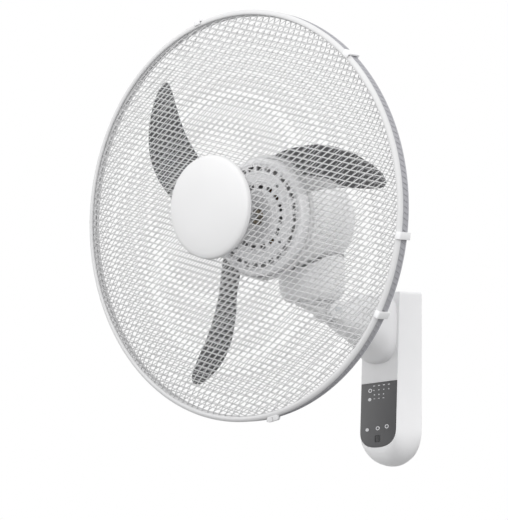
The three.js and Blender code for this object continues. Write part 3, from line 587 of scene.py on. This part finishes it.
def grown(builder, values, points=None):
    """Plain mesh that a tree makes from the values of its inputs."""
    holder = added("tool", points or bpy.data.meshes.new("seed"))
    modifier = holder.modifiers.new("grow", "NODES")
    modifier.node_group = builder.tree
    for name, value in values.items():
        modifier[builder.ids[name]] = value
    return baked(holder)


def mesh_net_tree():
    """Two families of wires laid over a dome, open at the middle and ended on a circle."""
    b = Builder("mesh_net")
    pitch, wire, low, high, inner, outer, flat, centre, edge, power = map(b.input, (
        "Pitch", "Wire Radius", "Low Angle", "High Angle", "Inner Radius", "Outer Radius",
        "Flat Radius", "Centre Height", "Edge Height", "Power"))
    material = b.input("Material", "NodeSocketMaterial")
    plus, minus, times, over = (functools.partial(b.math, kind)
                                for kind in ("ADD", "SUBTRACT", "MULTIPLY", "DIVIDE"))
    join = wired(b.tree, "GeometryNodeJoinGeometry")
    for angle, side in ((low, -0.45), (high, 0.45)):
        # straight rows of points, a pitch apart
        half_count = b.math("FLOOR", over(minus(outer, pitch), pitch))
        rows = b.node("GeometryNodeMeshLine", {
            "Count": plus(times(half_count, 2.0), 1.0), "Offset": b.vector(0.0, pitch),
            "Start Location": b.vector(0.0, times(times(half_count, pitch), -1.0))})
        line = b.node("GeometryNodeMeshLine", {
            "Count": NET_POINTS, "Start Location": b.vector(times(outer, -1.0)),
            "Offset": b.vector(over(times(outer, 2.0), NET_POINTS - 1.0))})
        laid = b.node("GeometryNodeInstanceOnPoints", {"Points": rows, "Instance": line})
        real = b.node("GeometryNodeRealizeInstances", {"Geometry": laid})
        # each row drawn in to its chord of the circle, laid on the dome and turned to its angle
        x, y = b.place()
        chord = b.math("SQRT", b.math("MAXIMUM", minus(times(outer, outer), times(y, y)), 0.0))
        along = times(over(x, outer), chord)
        share = over(b.math("MAXIMUM", minus(b.length(along, y), flat), 0.0), minus(outer, flat))
        fall = b.math("POWER", b.math("MINIMUM", share, 1.0), power)
        rise = times(minus(centre, edge), minus(1.0, fall))
        height = plus(plus(edge, rise), times(wire, side))
        cosine, sine = b.math("COSINE", angle), b.math("SINE", angle)
        u = minus(times(along, cosine), times(y, sine))
        v = plus(times(along, sine), times(y, cosine))
        draped = b.node("GeometryNodeSetPosition", {
            "Geometry": real, "Position": b.vector(u, v, height)})
        # the middle opened, and a wire drawn along each row
        within = b.math("LESS_THAN", b.length(*b.place()), inner)
        opened = b.node("GeometryNodeDeleteGeometry", {"Geometry": draped, "Selection": within})
        lines = b.node("GeometryNodeMeshToCurve", {0: opened})
        ring = b.node("GeometryNodeCurvePrimitiveCircle", {"Resolution": 5, "Radius": wire})
        wires = b.node("GeometryNodeCurveToMesh", {
            "Curve": lines, "Profile Curve": ring, "Fill Caps": True})
        b.tree.links.new(wires, join.inputs[0])
    b.finish(join.outputs[0], material)
    return b


def repeated_tree():
    """Copies of an object's mesh, one on each point of the seed mesh, turned by its rotation."""
    b = Builder("repeated")
    seed = b.tree.interface.new_socket("Geometry", in_out="INPUT", socket_type="NodeSocketGeometry")
    original = b.input("Original", "NodeSocketObject")
    material = b.input("Material", "NodeSocketMaterial")
    turn = b.node("GeometryNodeInputNamedAttribute", {"Name": "turn"}, data_type="FLOAT_VECTOR")
    info = wired(b.tree, "GeometryNodeObjectInfo", {"Object": original})
    laid = b.node("GeometryNodeInstanceOnPoints", {
        "Points": b.inlet.outputs[seed.name], "Instance": info.outputs["Geometry"],
        "Rotation": b.node("FunctionNodeEulerToRotation", {0: turn})})
    b.finish(laid, material)
    return b


def repeated(original, places, turns, paint):
    """One mesh with a copy of original at each place, each turned by its Euler angles."""
    seed = mesh_from("places", places, [])
    attribute = seed.attributes.new("turn", "FLOAT_VECTOR", "POINT")
    for entry, turn in zip(attribute.data, turns):
        entry.vector = turn
    source = added("tool", original)
    mesh = grown(repeated_tree(), {"Original": source, "Material": finish(paint)}, seed)
    bpy.data.objects.remove(source)
    return mesh


# ---- settings


class WallFanSizes(bpy.types.PropertyGroup):
    mesh_pitch: bpy.props.FloatProperty(
        name="Mesh Pitch", description="Distance between two wires of the guard mesh",
        default=0.0062, min=0.003, unit="LENGTH")
    wire_radius: bpy.props.FloatProperty(
        name="Wire Radius", description="Half the thickness of a guard wire",
        default=0.00055, min=0.0002, unit="LENGTH")
    blade_thickness: bpy.props.FloatProperty(
        name="Blade Thickness", description="Thickness of an impeller blade at its root",
        default=0.002, min=0.001, unit="LENGTH")
    ring_radius: bpy.props.FloatProperty(
        name="Ring Radius", description="Outer radius of the trim ring round the guard",
        default=0.225, min=0.1, unit="LENGTH")
    floor_drop: bpy.props.FloatProperty(
        name="Floor Drop", description="How far the studio floor lies below the fan",
        default=1.2, min=0.1, unit="LENGTH")


class WallFanColors(bpy.types.PropertyGroup):
    backdrop: bpy.props.FloatVectorProperty(
        name="Backdrop", description="Colour of the studio behind the fan",
        default=(0.94, 0.94, 0.94), size=3, min=0.0, max=1.0, subtype="COLOR")


# ---- control box and arm


class WALLFAN_OT_control_box(bpy.types.Operator):
    """Makes the control box: front cover, dark panel, keys, lamps, sensor window and gland"""

    bl_idname = "wall_fan.control_box"
    bl_label = "Control Box"

    panel_top = -1.0
    panel_depth = 2.2
    panel_inset = 0.8
    clearance = 0.25
    sensor_height = 10.5  # above the lowest point of the face
    gland_place = (0, -8, 0)

    def execute(self, context):
        cover = box_skin(BACK_PLANE + 0.9)
        recess = face_slab(
            self.panel_inset - self.clearance, -1.0, self.panel_depth + 0.3,
            self.panel_top + self.clearance)
        gland_room = turned(prism(disc_outline(4.3, 32), -100, -82), shift(*self.gland_place))
        cover = bevelled(carved(cover, [recess, gland_room]), 0.6, 50.0)
        placed("front_cover", cover, "base", "white_plastic")

        sensor_z = CHIN_SHOULDER - CHIN_FRONT + self.sensor_height
        window = prism(rounded_outline(14.6, 7.6, 1.2), 20, 40)
        window = turned(window, shift(0, 0, sensor_z) @ spin(90, "X"))
        panel = face_slab(self.panel_inset, 0.0, self.panel_depth, self.panel_top, 0.6)
        placed("control_panel", carved(panel, [window]), "base", "dark_panel")
        lens = prism(rounded_outline(14.0, 7.0, 1.0), 0, 1.6)
        lens = bevelled(turned(lens, self.on_face(0.0, sensor_z, -1.9)), 0.3, 40.0)
        placed("sensor_window", lens, "base", "black_plastic")
        self.keys_and_lamps()

        gland = revolved([
            (2.2, -94), (3.6, -94), (4.0, -93.6), (4.0, -87), (5.4, -87), (5.4, -85), (2.2, -85)],
            40)
        placed("cord_gland", turned(gland, shift(*self.gland_place)), "base", "nylon")
        return {"FINISHED"}

    def on_face(self, x, z, proud):
        """Frame on the leaning face: third axis out of it, starting proud of the surface."""
        return shift(x, -(depth_at(z) + proud), z) @ Matrix.Rotation(FACE_TURN, 4, "X")

    def keys_and_lamps(self):
        """Oval key rims, two round lamps, and rows of small plain lamps and dashes."""
        rims = []
        for x, z in ((-22.6, -9.3), (0.0, -52.8), (23.6, -51.6)):
            rim = revolved([(1.35, -0.2), (1.35, 0.14), (2.3, 0.14), (2.3, -0.2)], 48)
            oval = self.on_face(x, z, 0.0) @ Matrix.Diagonal((2.2, 1.0, 1.0, 1.0))
            rims.append(turned(rim, oval))
        placed("key_rims", merged(rims), "base", "dark_panel", paint="lamp_grey")
        dot = revolved(filleted(1.0, -0.15, 0.15, 0.08, 2), 24)
        dash = bevelled(prism(rounded_outline(5.2, 1.0, 0.3, 2), -0.15, 0.12), 0.05, 40.0)
        kinds = (
            (dot, (4.4, 1.9), ((-23.4, -19.4), (-28.0, -53.6))),
            (dash, (1.0, 1.0), ((-12.5, -4.4), (0.5, -4.4), (13.5, -4.4), (26.5, -4.4))),
            (dot, (1.5, 0.7), ((-12.5, -9.4), (0.5, -9.4), (13.5, -9.4), (26.5, -9.4),
                               (-11.0, -14.6), (1.0, -14.6), (13.0, -14.6))),
            (dash, (0.8, 0.7), ((-11.0, -19.0), (1.0, -19.0), (13.0, -19.0))))
        lamps = []
        for shape, (wide, high), spots in kinds:
            scaled = turned(shape.copy(), Matrix.Diagonal((wide, high, 1.0, 1.0)))
            places = [self.on_face(x, z, 0.06).translation for x, z in spots]
            turns = [(FACE_TURN, 0.0, 0.0)] * len(places)
            lamps.append(repeated(scaled, places, turns, "lamp_grey"))
        placed("panel_lamps", merged(lamps), "base", "dark_panel", paint="lamp_grey")


class WALLFAN_OT_arm(bpy.types.Operator):
    """Makes the tapered arm with its fork, the tilting neck, the bolt and its nut"""

    bl_idname = "wall_fan.arm"
    bl_label = "Arm and Neck"

    fork_half = 24.0
    fork_radius = 10.5
    reach = 62.5  # from the box's face to the bolt
    squareness = 3.0  # of the arm's sections: 2 is an ellipse
    section_points = 72
    root_height = 59.25  # middle of the arm's root, where the lean of the face is taken up
    root_blend = 20.0
    shoulder = 10.7  # the neck's top face, along its post from the bolt
    post_back = -20.5

    def execute(self, context):
        height = TILT_POINT.z / MM
        face = -TILT_POINT.y / MM - self.reach
        # distance from the face, half width, lower and upper edge
        stations = [
            (-0.6, 44.0, 20.3, 98.3), (8.0, 43.0, 22.0, 98.3), (16.0, 39.0, 29.0, 98.3),
            (24.0, 34.0, 37.0, 98.0), (32.0, 30.0, 43.0, 95.2), (40.0, 27.0, 48.5, 90.0),
            (47.0, 25.0, 53.0, 85.6), (54.0, 24.0, 58.0, 83.6),
            (self.reach, self.fork_half, height - self.fork_radius, height + 6.5)]
        rings = []
        for distance, half, low, high in smooth_profile(stations, 7):
            blend = max(0.0, 1 - distance / self.root_blend)
            ring = []
            for i in range(self.section_points):
                angle = 2 * math.pi * i / self.section_points
                across, up = (math.copysign(abs(side) ** (2 / self.squareness), side)
                              for side in (math.cos(angle), math.sin(angle)))
                z = (low + high) / 2 + (high - low) / 2 * up
                lean = BOX_LEAN * (self.root_height - z) * blend
                ring.append((half * across, -(face + distance + lean), z))
            rings.append(ring)
        barrel = self.across(self.fork_radius, -self.fork_half, self.fork_half, 0.8)
        centre = shift(0, -(face + self.reach), height)
        arm = carved(lofted(rings), [turned(barrel, centre)], "UNION")
        slot = turned(prism(rounded_outline(24.8, 24.2, 2.0), -60, 60), centre)
        placed("support_arm", bevelled(carved(arm, [slot]), 0.6, 40.0), "base", "white_plastic")
        self.neck()
        self.bolt(centre)
        return {"FINISHED"}

    def across(self, radius, left, right, fillet, segments=64):
        """A rod along the bolt, its ends rounded by fillet."""
        return turned(revolved(filleted(radius, left, right, fillet, 3), segments), spin(90, "Y"))

    def neck(self):
        top, post = self.shoulder, shift(0, self.post_back, 0)
        barrel = self.across(10.1, -12.0, 12.0, 0.5)
        side = (
            (8.1, 2.0), (-7.0, 0.0), (-7.2, -7.0), (top - 3.0, -33.5), (top, -33.5), (top, -4.0))
        bridge = bevelled(lofted([[(x, y, z) for z, y in side] for x in (-11.6, 11.6)]), 0.8, 30.0)
        saddle = revolved([
            (0, -4), (17, -4), (18.4, -3.6), (19.6, -2.6), (20, -1.2), (20, -0.5), (19.5, 0),
            (0, 0)], up=top)
        saddle = carved(turned(saddle, post), [self.across(11.5, -40.0, 40.0, 0.5)])
        swivel_post = revolved([
            (0, top - 1), (9, top - 1), (9, 17.7), (4, 17.7), (4, 30), (0, 30)], 48)
        neck = merged([barrel, bridge, saddle, turned(swivel_post, post)])
        placed("neck", neck, "tilting_neck", "white_plastic", NECK)

    def bolt(self, centre):
        reach = self.fork_half + 0.3
        head = self.across(7.5, reach, reach + 5, 0.9)
        shank = self.across(4.0, -reach - 8, reach + 1, 0.4, 32)
        cross = turned(cross_recess(3.4, 7.0, 8.0, 1.6), shift(reach, 0, 0) @ spin(90, "Y"))
        bolt = merged([carved(head, [cross]), shank])
        placed("tilt_bolt", turned(bolt, centre), "base", "zinc_steel")
        nut = prism(disc_outline(7.5, 6), -reach - 6, -reach)
        bore = prism(disc_outline(4.3, 32), -reach - 7, -reach + 1)
        nut = turned(bevelled(carved(nut, [bore]), 0.4, 40.0), spin(90, "Y"))
        placed("tilt_nut", turned(nut, centre), "base", "zinc_steel")


def cross_recess(low, high, length, width):
    """Cutter for a cross in a screw's head."""
    bar = rounded_outline(length, width, 0.2, 1)
    return merged([turned(prism(bar, low, high), spin(turn)) for turn in (0, 90)])


# ---- motor head

SHELL_BACK = -150.0
SHELL_FRONT = -42.0
COVER_FACE = -26.0


class WALLFAN_OT_motor(bpy.types.Operator):
    """Makes the motor's rear shell, its vented front cover and the swivel housing"""

    bl_idname = "wall_fan.motor"
    bl_label = "Motor Housing"

    rear_slots = 24
    vent_rows = ((53.5, 5.4, 8.6, 28), (34.0, 5.4, 8.2, 16))  # radius, width, length, how many
    rib_radii = (22.0, 28.0, 39.6, 48.6)
    pod_foot = 88.0
    pod_top = 141.7
    pod_gap = 4.0  # between the motor shell and the swivel housing

    def execute(self, context):
        back, front = SHELL_BACK, SHELL_FRONT
        outside = smooth_profile([
            (0.0, back), (29, back + 1), (42, back + 5), (49, back + 13), (51, back + 25),
            (52, -90), (55, -66), (61, front - 9)], 7)
        outside += [(65.2, front - 4.6), (66, front - 4), (66, front)]
        inside = smooth_profile([
            (60.0, front), (54, -64), (48.5, -76), (48.5, back + 22), (45.5, back + 13),
            (40, back + 8), (0.0, back + 3.5)], 5)
        slit = rounded_outline(11.0, 2.2, 1.0, 3)
        slots = self.slots(self.rear_slots, 30, slit, back - 4, back + 22)
        shell = carved(revolved(outside + inside, 128), [merged(slots)])
        placed("motor_rear_shell", shell, "head", "white_plastic", HEAD)
        self.front_cover()
        self.swivel_housing(outside)
        return {"FINISHED"}

    def slots(self, count, radius, outline, low, high):
        """Cutters for slots spread evenly on a circle."""
        return [turned(prism(outline, low, high), out_at(360 * (i + 0.5) / count, radius))
                for i in range(count)]

    def front_cover(self):
        face = COVER_FACE
        seat = SHELL_FRONT + 2.6 - face
        rim = revolved([
            (62.5, seat), (65, seat), (65, -3.2), (64.6, -1.6), (63.6, -0.5), (62, 0), (58, 0),
            (58, -2), (61, -2), (62.5, -3.4)], 128, up=face)
        plate = revolved([(9.3, -2), (59, -2), (59, 0), (13, 0), (9.3, 0)], 128, up=face)
        vents = []
        for radius, width, length, count in self.vent_rows:
            outline = rounded_outline(width, length, 1.6, 4)
            vents += self.slots(count, radius, outline, face - 8, face + 4)
        plate = carved(plate, [merged(vents)])
        ribs = [revolved([(-0.9, -0.4), (-0.5, 0.5), (0.5, 0.5), (0.9, -0.4)], 128, radius, face)
                for radius in self.rib_radii]
        boss = revolved([(9.3, -10), (12, -10), (13, -1), (9.3, -1)], 48, up=face)
        cover = merged([rim, plate, boss, *ribs])
        placed("motor_front_cover", cover, "head", "white_plastic", HEAD)

    def swivel_housing(self, outside):
        top = self.pod_top - self.pod_foot
        rim = smooth_profile([(26.5, 0), (30, 1.2), (32.6, 3.6), (35.5, 9), (37, 16), (37.5, 24)])
        pod = revolved([
            (9.3, 0), (25, 0), *rim, (37.5, top), (35, top), (35, 25), (33.4, 10), (31, 5.5),
            (25.5, 3), (9.3, 3)], up=self.pod_foot)
        around = [(radius + self.pod_gap, forward) for radius, forward in outside[1:]]
        room = revolved([(0.0, SHELL_BACK - 2), *around, (70.0, SHELL_FRONT), (0.0, SHELL_FRONT)])
        pod = carved(turned(pod, SWIVEL), [turned(room, HEAD)])
        placed("swivel_housing", pod, "head", "white_plastic", Matrix.Identity(4))


# ---- guards


class WALLFAN_OT_guards(bpy.types.Operator):
    """Makes both mesh guards, the trim ring, the cap, the clips and the clamp screw"""

    bl_idname = "wall_fan.guards"
    bl_label = "Guards"

    rise = 6.5  # of the cap and its seat above the fan's axis
    wire_angles = (-17.5, 34.5)
    clip_angles = (102.0, 44.0, -11.0, -33.0)
    clamp_angle = -80.0
    screw_angles = (45.0, 135.0, 225.0, 315.0)
    screw_circle = 44.0
    wall_wires = 226
    wall_lean = -24.0
    soft_edge = 60.0

    def execute(self, context):
        sizes = context.scene.wall_fan_sizes
        radius = sizes.ring_radius / MM
        rim = radius - 2.6
        net = mesh_net_tree()
        low, high = map(math.radians, self.wire_angles)
        shared = {
            "Pitch": sizes.mesh_pitch / MM, "Wire Radius": sizes.wire_radius / MM,
            "Low Angle": low, "High Angle": high, "Outer Radius": rim - 2.0,
            "Material": finish("wire_paint")}
        front_net = grown(net, {
            **shared, "Inner Radius": 44.0, "Flat Radius": 51.5, "Centre Height": 47.0,
            "Edge Height": 3.5, "Power": 2.3})
        rear_net = grown(net, {
            **shared, "Inner Radius": 66.0, "Flat Radius": 0.0, "Centre Height": -42.0,
            "Edge Height": -3.0, "Power": 5.0})
        plate = revolved([(8, 45), (53, 45), (53.5, 45.6), (53.5, 48), (8, 48.6)])
        plate = turned(plate, shift(0, self.rise, 0))
        front = merged([front_net, plate, self.hoop(rim - 2.2, 2.6, 2.0)])
        placed("front_guard", front, "head", "wire_paint", HEAD, crease=self.soft_edge)
        seat = revolved([
            (40, -41.7), (69, -41.7), (69, -39.0), (68.4, -38.5), (66, -38.5), (65.4, -39.0),
            (65.2, -39.7), (40, -39.7)], 128)
        rear = merged([rear_net, seat, self.hoop(rim - 2.2, -2.6, 2.0)])
        placed("rear_guard", rear, "head", "wire_paint", HEAD, crease=self.soft_edge)
        self.side_wall(radius - 1.3)
        self.trim_ring(radius)
        self.cap()
        self.clips(radius)
        self.clamp(radius)
        self.guard_screws()
        return {"FINISHED"}

    def hoop(self, radius, height, thickness):
        """A round wire bent to a circle; thickness is the wire's radius."""
        return revolved(disc_outline(thickness, 12), 200, radius, height)

    def side_wall(self, radius):
        """The rear guard's side: two hoops, short leaning wires between them and a liner, all in a
        darker grey than the guard's wires: painted shade.
        """
        wire = revolved(filleted(0.75, -5.4, 5.4, 0.3, 2), 8)
        places, turns = [], []
        for i in range(self.wall_wires):
            angle = 2 * math.pi * i / self.wall_wires
            places.append((radius * math.cos(angle), radius * math.sin(angle), -1.6))
            turns.append((math.radians(self.wall_lean), 0.0, angle))
        wires = repeated(wire, places, turns, "wire_paint")
        liner = revolved([(-0.8, -5.6), (0, -5.6), (0, 2.6), (-0.8, 2.6)], 200, radius)
        wall = merged([self.hoop(radius, -6.0, 0.9), self.hoop(radius, 2.7, 0.9), wires, liner])
        # the side wall is painted darker than the rest of the guard: painted shade
        placed("guard_side_wall", wall, "head", "wire_paint", HEAD,
               paint="side_paint", crease=self.soft_edge)

    def trim_ring(self, radius):
        front = smooth_profile([
            (-5.8, 6.0), (-5.4, 7.3), (-4.4, 7.9), (-2.8, 7.8), (-1.1, 6.7), (-0.1, 5.2), (0, 4.0)],
            5)
        ring = revolved(front + [(-2, 4.0), (-2, 6.0)], 256, radius)
        lug = prism(rounded_outline(5.6, 15, 1.8, 4), 4.2, 7.8)
        lug = turned(lug, out_at(self.clamp_angle, radius + 1.9))
        split = prism(rounded_outline(12, 1.2, 0.2, 1), 2, 10)
        split = turned(split, out_at(self.clamp_angle, radius + 6.3))
        lug = bevelled(carved(lug, [split]), 0.4, 40.0)
        placed("guard_ring", merged([ring, lug]), "head", "white_plastic", HEAD, "trim_plastic")

    def cap(self):
        outside = smooth_profile([(0.0, 61.2), (16, 60.9), (32, 59.8), (43, 58.1), (50.6, 56.2)])
        edge = smooth_profile([(53.6, 55.0), (55.4, 53.6), (56.2, 51.6), (56.3, 49.5)], 4)
        inside = [(56.3, 48.6), (55.3, 48.6), (55.3, 51.6), (52, 52.9), (28, 57.2), (0.0, 58.8)]
        cap = turned(revolved(outside + edge + inside, 128), shift(0, self.rise, 0))
        placed("guard_cap", cap, "head", "white_plastic", HEAD, "cap_plastic")

    def clips(self, radius):
        side = (
            (0.3, -7.3), (0.3, 8.3), (-3.7, 8.3), (-3.7, 9.9), (1.6, 9.9), (2.5, 9.0), (2.5, -8.0),
            (1.6, -8.9), (-1.7, -8.9), (-1.7, -7.3))
        for i, angle in enumerate(self.clip_angles):
            clip = bevelled(lofted([[(x, y, z) for x, z in side] for y in (-4.0, 4.0)]), 0.35, 35.0)
            clip = turned(clip, out_at(angle, radius))
            placed(f"ring_clip_{i + 1}", clip, "head", "white_plastic", HEAD)

    def clamp(self, radius):
        shank = revolved(filleted(1.3, -9, 9, 0.3, 2), 24)
        head = revolved(filleted(2.3, 7.7, 9.6, 0.6, 3), 32)
        head = carved(head, [cross_recess(8.8, 11.0, 2.8, 0.7)])
        place = out_at(self.clamp_angle, radius + 2.6, 6.0) @ spin(-90, "X")
        placed("clamp_screw", turned(merged([shank, head]), place), "head", "steel", HEAD)

    def guard_screws(self):
        face = COVER_FACE
        for i, angle in enumerate(self.screw_angles):
            head = revolved(filleted(3.6, face + 0.3, face + 2.3, 0.7, 3), 32)
            head = carved(head, [cross_recess(face + 1.2, face + 3.0, 4.2, 0.9)])
            shank = revolved(filleted(2.0, -41.2, face + 0.5, 0.3, 2), 20)
            spot = spin(angle) @ Vector((self.screw_circle, 0, 0))
            screw = turned(merged([head, shank]), Matrix.Translation(spot))
            placed(f"guard_screw_{i + 1}", screw, "head", "steel", HEAD)


# ---- impeller


class WALLFAN_OT_impeller(bpy.types.Operator):
    """Makes the hub with its three swept blades and the nut that holds it"""

    bl_idname = "wall_fan.impeller"
    bl_label = "Impeller"

    # a blade's two edges: radius, angle in degrees and height at each station
    crest = (
        (31, 67, 29), (80, 42, 29), (110, 33.8, 24), (140, 26.6, 16.4), (165, 19.0, 8.4),
        (181, 13.2, 2.6), (190, 9.8, -1.6), (195, 7.4, -4.4), (196.8, 5.4, -5.8))
    straight = (
        (31, -1, 6.4), (80, 7.4, 4.4), (110, 8.2, 2.6), (140, 6.5, 0.2), (165, 4.4, -2.4),
        (181, 3.4, -4.2), (190, 3.3, -5.2), (195, 3.8, -5.8), (196.8, 4.6, -6.0))
    blades = 3
    spans = 48
    chords = 16
    bow_height = 5.0
    tip_thinning = 0.45
    edge_share = 0.35  # of the thickness that is left at an edge
    hub_front = 26.0

    def execute(self, context):
        thickness = context.scene.wall_fan_sizes.blade_thickness / MM
        hub = revolved([
            (34, -34), (34, -6), (33.4, -3.6), (31.8, -1.2), (29, 0), (4.3, 0), (4.3, -30),
            (8, -30), (9, -2.4), (28.5, -2.4), (31.6, -6), (31.6, -34)], 128, up=self.hub_front)
        blades = [self.blade(360.0 / self.blades * i, thickness) for i in range(self.blades)]
        placed("impeller", merged([hub, *blades]), "impeller", "smoky_plastic", HEAD)
        nut = revolved([
            (4.3, 0.3), (13, 0.3), (13, 7.4), (12.2, 8.6), (10, 13), (6, 14.6), (0, 15), (0, 12.6),
            (4.3, 12.6)], 48, up=self.hub_front)
        placed("spinner_nut", nut, "impeller", "smoky_plastic", HEAD)
        return {"FINISHED"}

    def blade(self, turn, thickness):
        crest, straight = (smooth_profile(edge, 48) for edge in (self.crest, self.straight))
        rings = []
        for i in range(self.spans + 1):
            share = i / self.spans
            front = crest[round(share * (len(crest) - 1))]
            back = straight[round(share * (len(straight) - 1))]
            taper = 1 - self.tip_thinning * share
            layers = []
            for side in (1, -1):
                row = []
                for k in range(self.chords + 1):
                    s = k / self.chords
                    bow = 4 * s * (1 - s)
                    radius, degrees, middle = (a + (b - a) * s for a, b in zip(front, back))
                    angle = math.radians(degrees + turn)
                    middle += self.bow_height * bow * taper * (1 - share)
                    fullness = self.edge_share + (1 - self.edge_share) * math.sqrt(bow)
                    height = middle + side * thickness / 2 * taper * fullness
                    row.append((radius * math.cos(angle), radius * math.sin(angle), height))
                layers.append(row)
            rings.append(layers[0] + layers[1][::-1])
        return carved(lofted(rings), [prism(disc_outline(33.0, 96), -60, 60)])


# ---- carried-over solids


class WALLFAN_OT_carried_parts(bpy.types.Operator):
    """Gives the solids that stay as they are the finish of their slot"""

    bl_idname = "wall_fan.carried_parts"
    bl_label = "Inner Parts"

    def execute(self, context):
        for entry in frame["record"]["subparts"]:
            solid = frame["nodes"][entry["node"]]
            solid.data.materials.clear()
            solid.data.materials.append(finish(entry["material_slot"]))
        return {"FINISHED"}


# ---- stage


class WALLFAN_OT_stage(bpy.types.Operator):
    """Makes the pale floor and backdrop, the soft lamps and the camera"""

    bl_idname = "wall_fan.stage"
    bl_label = "Studio"

    floor_half = 30
    floor_share = 0.7
    world_strength = 1.13
    see_through_shade = 0.12  # strength of the backdrop behind a see-through surface, a painted shade
    lamp_target = (0.03, -0.2, 0.15)
    lamp_size = 1.4
    lamp_list = (("key", (0.0, -3.1, 1.4), 16.0), ("fill", (2.7, -1.7, 0.6), 31.0),
                 ("side", (2.6, 0.7, 1.2), 5.0))
    # the camera fitted to the photographed outline
    camera_place = (2.76064, -1.33165, -0.19551)
    camera_right = (0.384113, 0.923261, 0.006810)
    camera_up = (0.097584, -0.047931, 0.994072)
    sensor = 24.0
    focal_pixels = 2700.0
    picture_pixels = 520.0

    def execute(self, context):
        scene = context.scene
        self.floor(scene)
        self.world(scene)
        self.lamps()
        self.camera(scene)
        scene.view_settings.view_transform = "Standard"
        return {"FINISHED"}

    def floor(self, scene):
        low, half = CAD_BOX[0][2] - scene.wall_fan_sizes.floor_drop, self.floor_half
        corners = [(-half, -half, low), (half, -half, low), (half, half, low), (-half, half, low)]
        mesh = mesh_from("floor", corners, [(0, 1, 2, 3)])
        floor = added("floor", mesh)
        shader = Shader("floor_white")
        tones = ((0.3, (0.25, 0.25, 0.25)), (0.7, (0.27, 0.27, 0.27)))
        shader.put(Base_Color=shader.ramp(shader.noise(0.7, 2.0), tones), Roughness=0.9)
        outlet = shader.tree.nodes["Material Output"].inputs[0]
        self.seen_white(shader.tree, shader.surface.outputs[0], outlet, self.floor_share)
        mesh.materials.append(shader.material)

    def seen_white(self, tree, usual, target, share=1.0):
        """Camera, glossy and transmitted rays see a share of plain white, others the usual shader.

        Rays that have passed a see-through surface see the white dimmed, a painted shade that keeps
        the smoky blades dark."""
        path = wired(tree, "ShaderNodeLightPath").outputs
        bent = wired(tree, "ShaderNodeMath", {
            0: path["Is Glossy Ray"], 1: path["Is Transmission Ray"]}, operation="MAXIMUM")
        seen = wired(tree, "ShaderNodeMath", {
            0: path["Is Camera Ray"], 1: bent.outputs[0]}, operation="MAXIMUM")
        part = wired(tree, "ShaderNodeMath", {0: seen.outputs[0], 1: share}, operation="MULTIPLY")
        # painted shade: the white seen through a see-through surface is dimmed by its transparent
        # depth
        dim = wired(tree, "ShaderNodeMapRange", {
            "To Min": 1.0, "To Max": self.see_through_shade, "Value": path["Transparent Depth"]})
        white = wired(tree, "ShaderNodeEmission", {"Strength": dim.outputs["Result"]})
        mix = wired(tree, "ShaderNodeMixShader", {
            0: part.outputs[0], 1: usual, 2: white.outputs[0]})
        tree.links.new(mix.outputs[0], target)

    def world(self, scene):
        world = bpy.data.worlds.new("studio")
        scene.world = world
        world.use_nodes = True
        nodes = world.node_tree.nodes
        usual = nodes["Background"]
        usual.inputs["Color"].default_value = (*scene.wall_fan_colors.backdrop, 1)
        usual.inputs["Strength"].default_value = self.world_strength
        self.seen_white(world.node_tree, usual.outputs[0], nodes["World Output"].inputs[0])

    def lamps(self):
        for name, place, power in self.lamp_list:
            data = bpy.data.lights.new(name, "AREA")
            data.size = self.lamp_size
            data.energy = power
            lamp = added(name, data)
            lamp.location = place
            aim = Vector(self.lamp_target) - Vector(place)
            lamp.rotation_euler = aim.to_track_quat("-Z", "Y").to_euler()

    def camera(self, scene):
        data = bpy.data.cameras.new("camera")
        camera = added("camera", data)
        right, up = Vector(self.camera_right), Vector(self.camera_up)
        turn = Matrix((right, up, right.cross(up).normalized())).transposed().to_4x4()
        camera.matrix_world = Matrix.Translation(self.camera_place) @ turn
        data.sensor_fit = "VERTICAL"
        data.sensor_height = self.sensor
        data.lens = self.sensor * self.focal_pixels / self.picture_pixels
        data.clip_end = 100.0
        scene.camera = camera


# ---- panel and registration


OPERATORS = (
    WALLFAN_OT_carried_parts, WALLFAN_OT_control_box, WALLFAN_OT_arm, WALLFAN_OT_motor,
    WALLFAN_OT_guards, WALLFAN_OT_impeller, WALLFAN_OT_stage)


class WALLFAN_PT_panel(bpy.types.Panel):
    """Lists the sizes, the colours and the steps that make the fan"""

    bl_idname = "WALLFAN_PT_panel"
    bl_label = "Wall Fan"
    bl_space_type = "VIEW_3D"
    bl_region_type = "UI"
    bl_category = "Wall Fan"

    def draw(self, context):
        for group in (context.scene.wall_fan_sizes, context.scene.wall_fan_colors):
            for name in group.__annotations__:
                self.layout.prop(group, name)
        for operator in OPERATORS:
            self.layout.operator(operator.bl_idname)


CLASSES = (WallFanSizes, WallFanColors, *OPERATORS, WALLFAN_PT_panel)


def register():
    for item in CLASSES:
        bpy.utils.register_class(item)
    bpy.types.Scene.wall_fan_sizes = bpy.props.PointerProperty(type=WallFanSizes)
    bpy.types.Scene.wall_fan_colors = bpy.props.PointerProperty(type=WallFanColors)


def unregister():
    del bpy.types.Scene.wall_fan_colors
    del bpy.types.Scene.wall_fan_sizes
    for item in reversed(CLASSES):
        bpy.utils.unregister_class(item)


def main():
    register()
    bpy.ops.wall_fan.carried_parts()
    bpy.ops.wall_fan.control_box()
    bpy.ops.wall_fan.arm()
    bpy.ops.wall_fan.motor()
    bpy.ops.wall_fan.guards()
    bpy.ops.wall_fan.impeller()
    bpy.ops.wall_fan.stage()


if __name__ == "__main__":
    main()
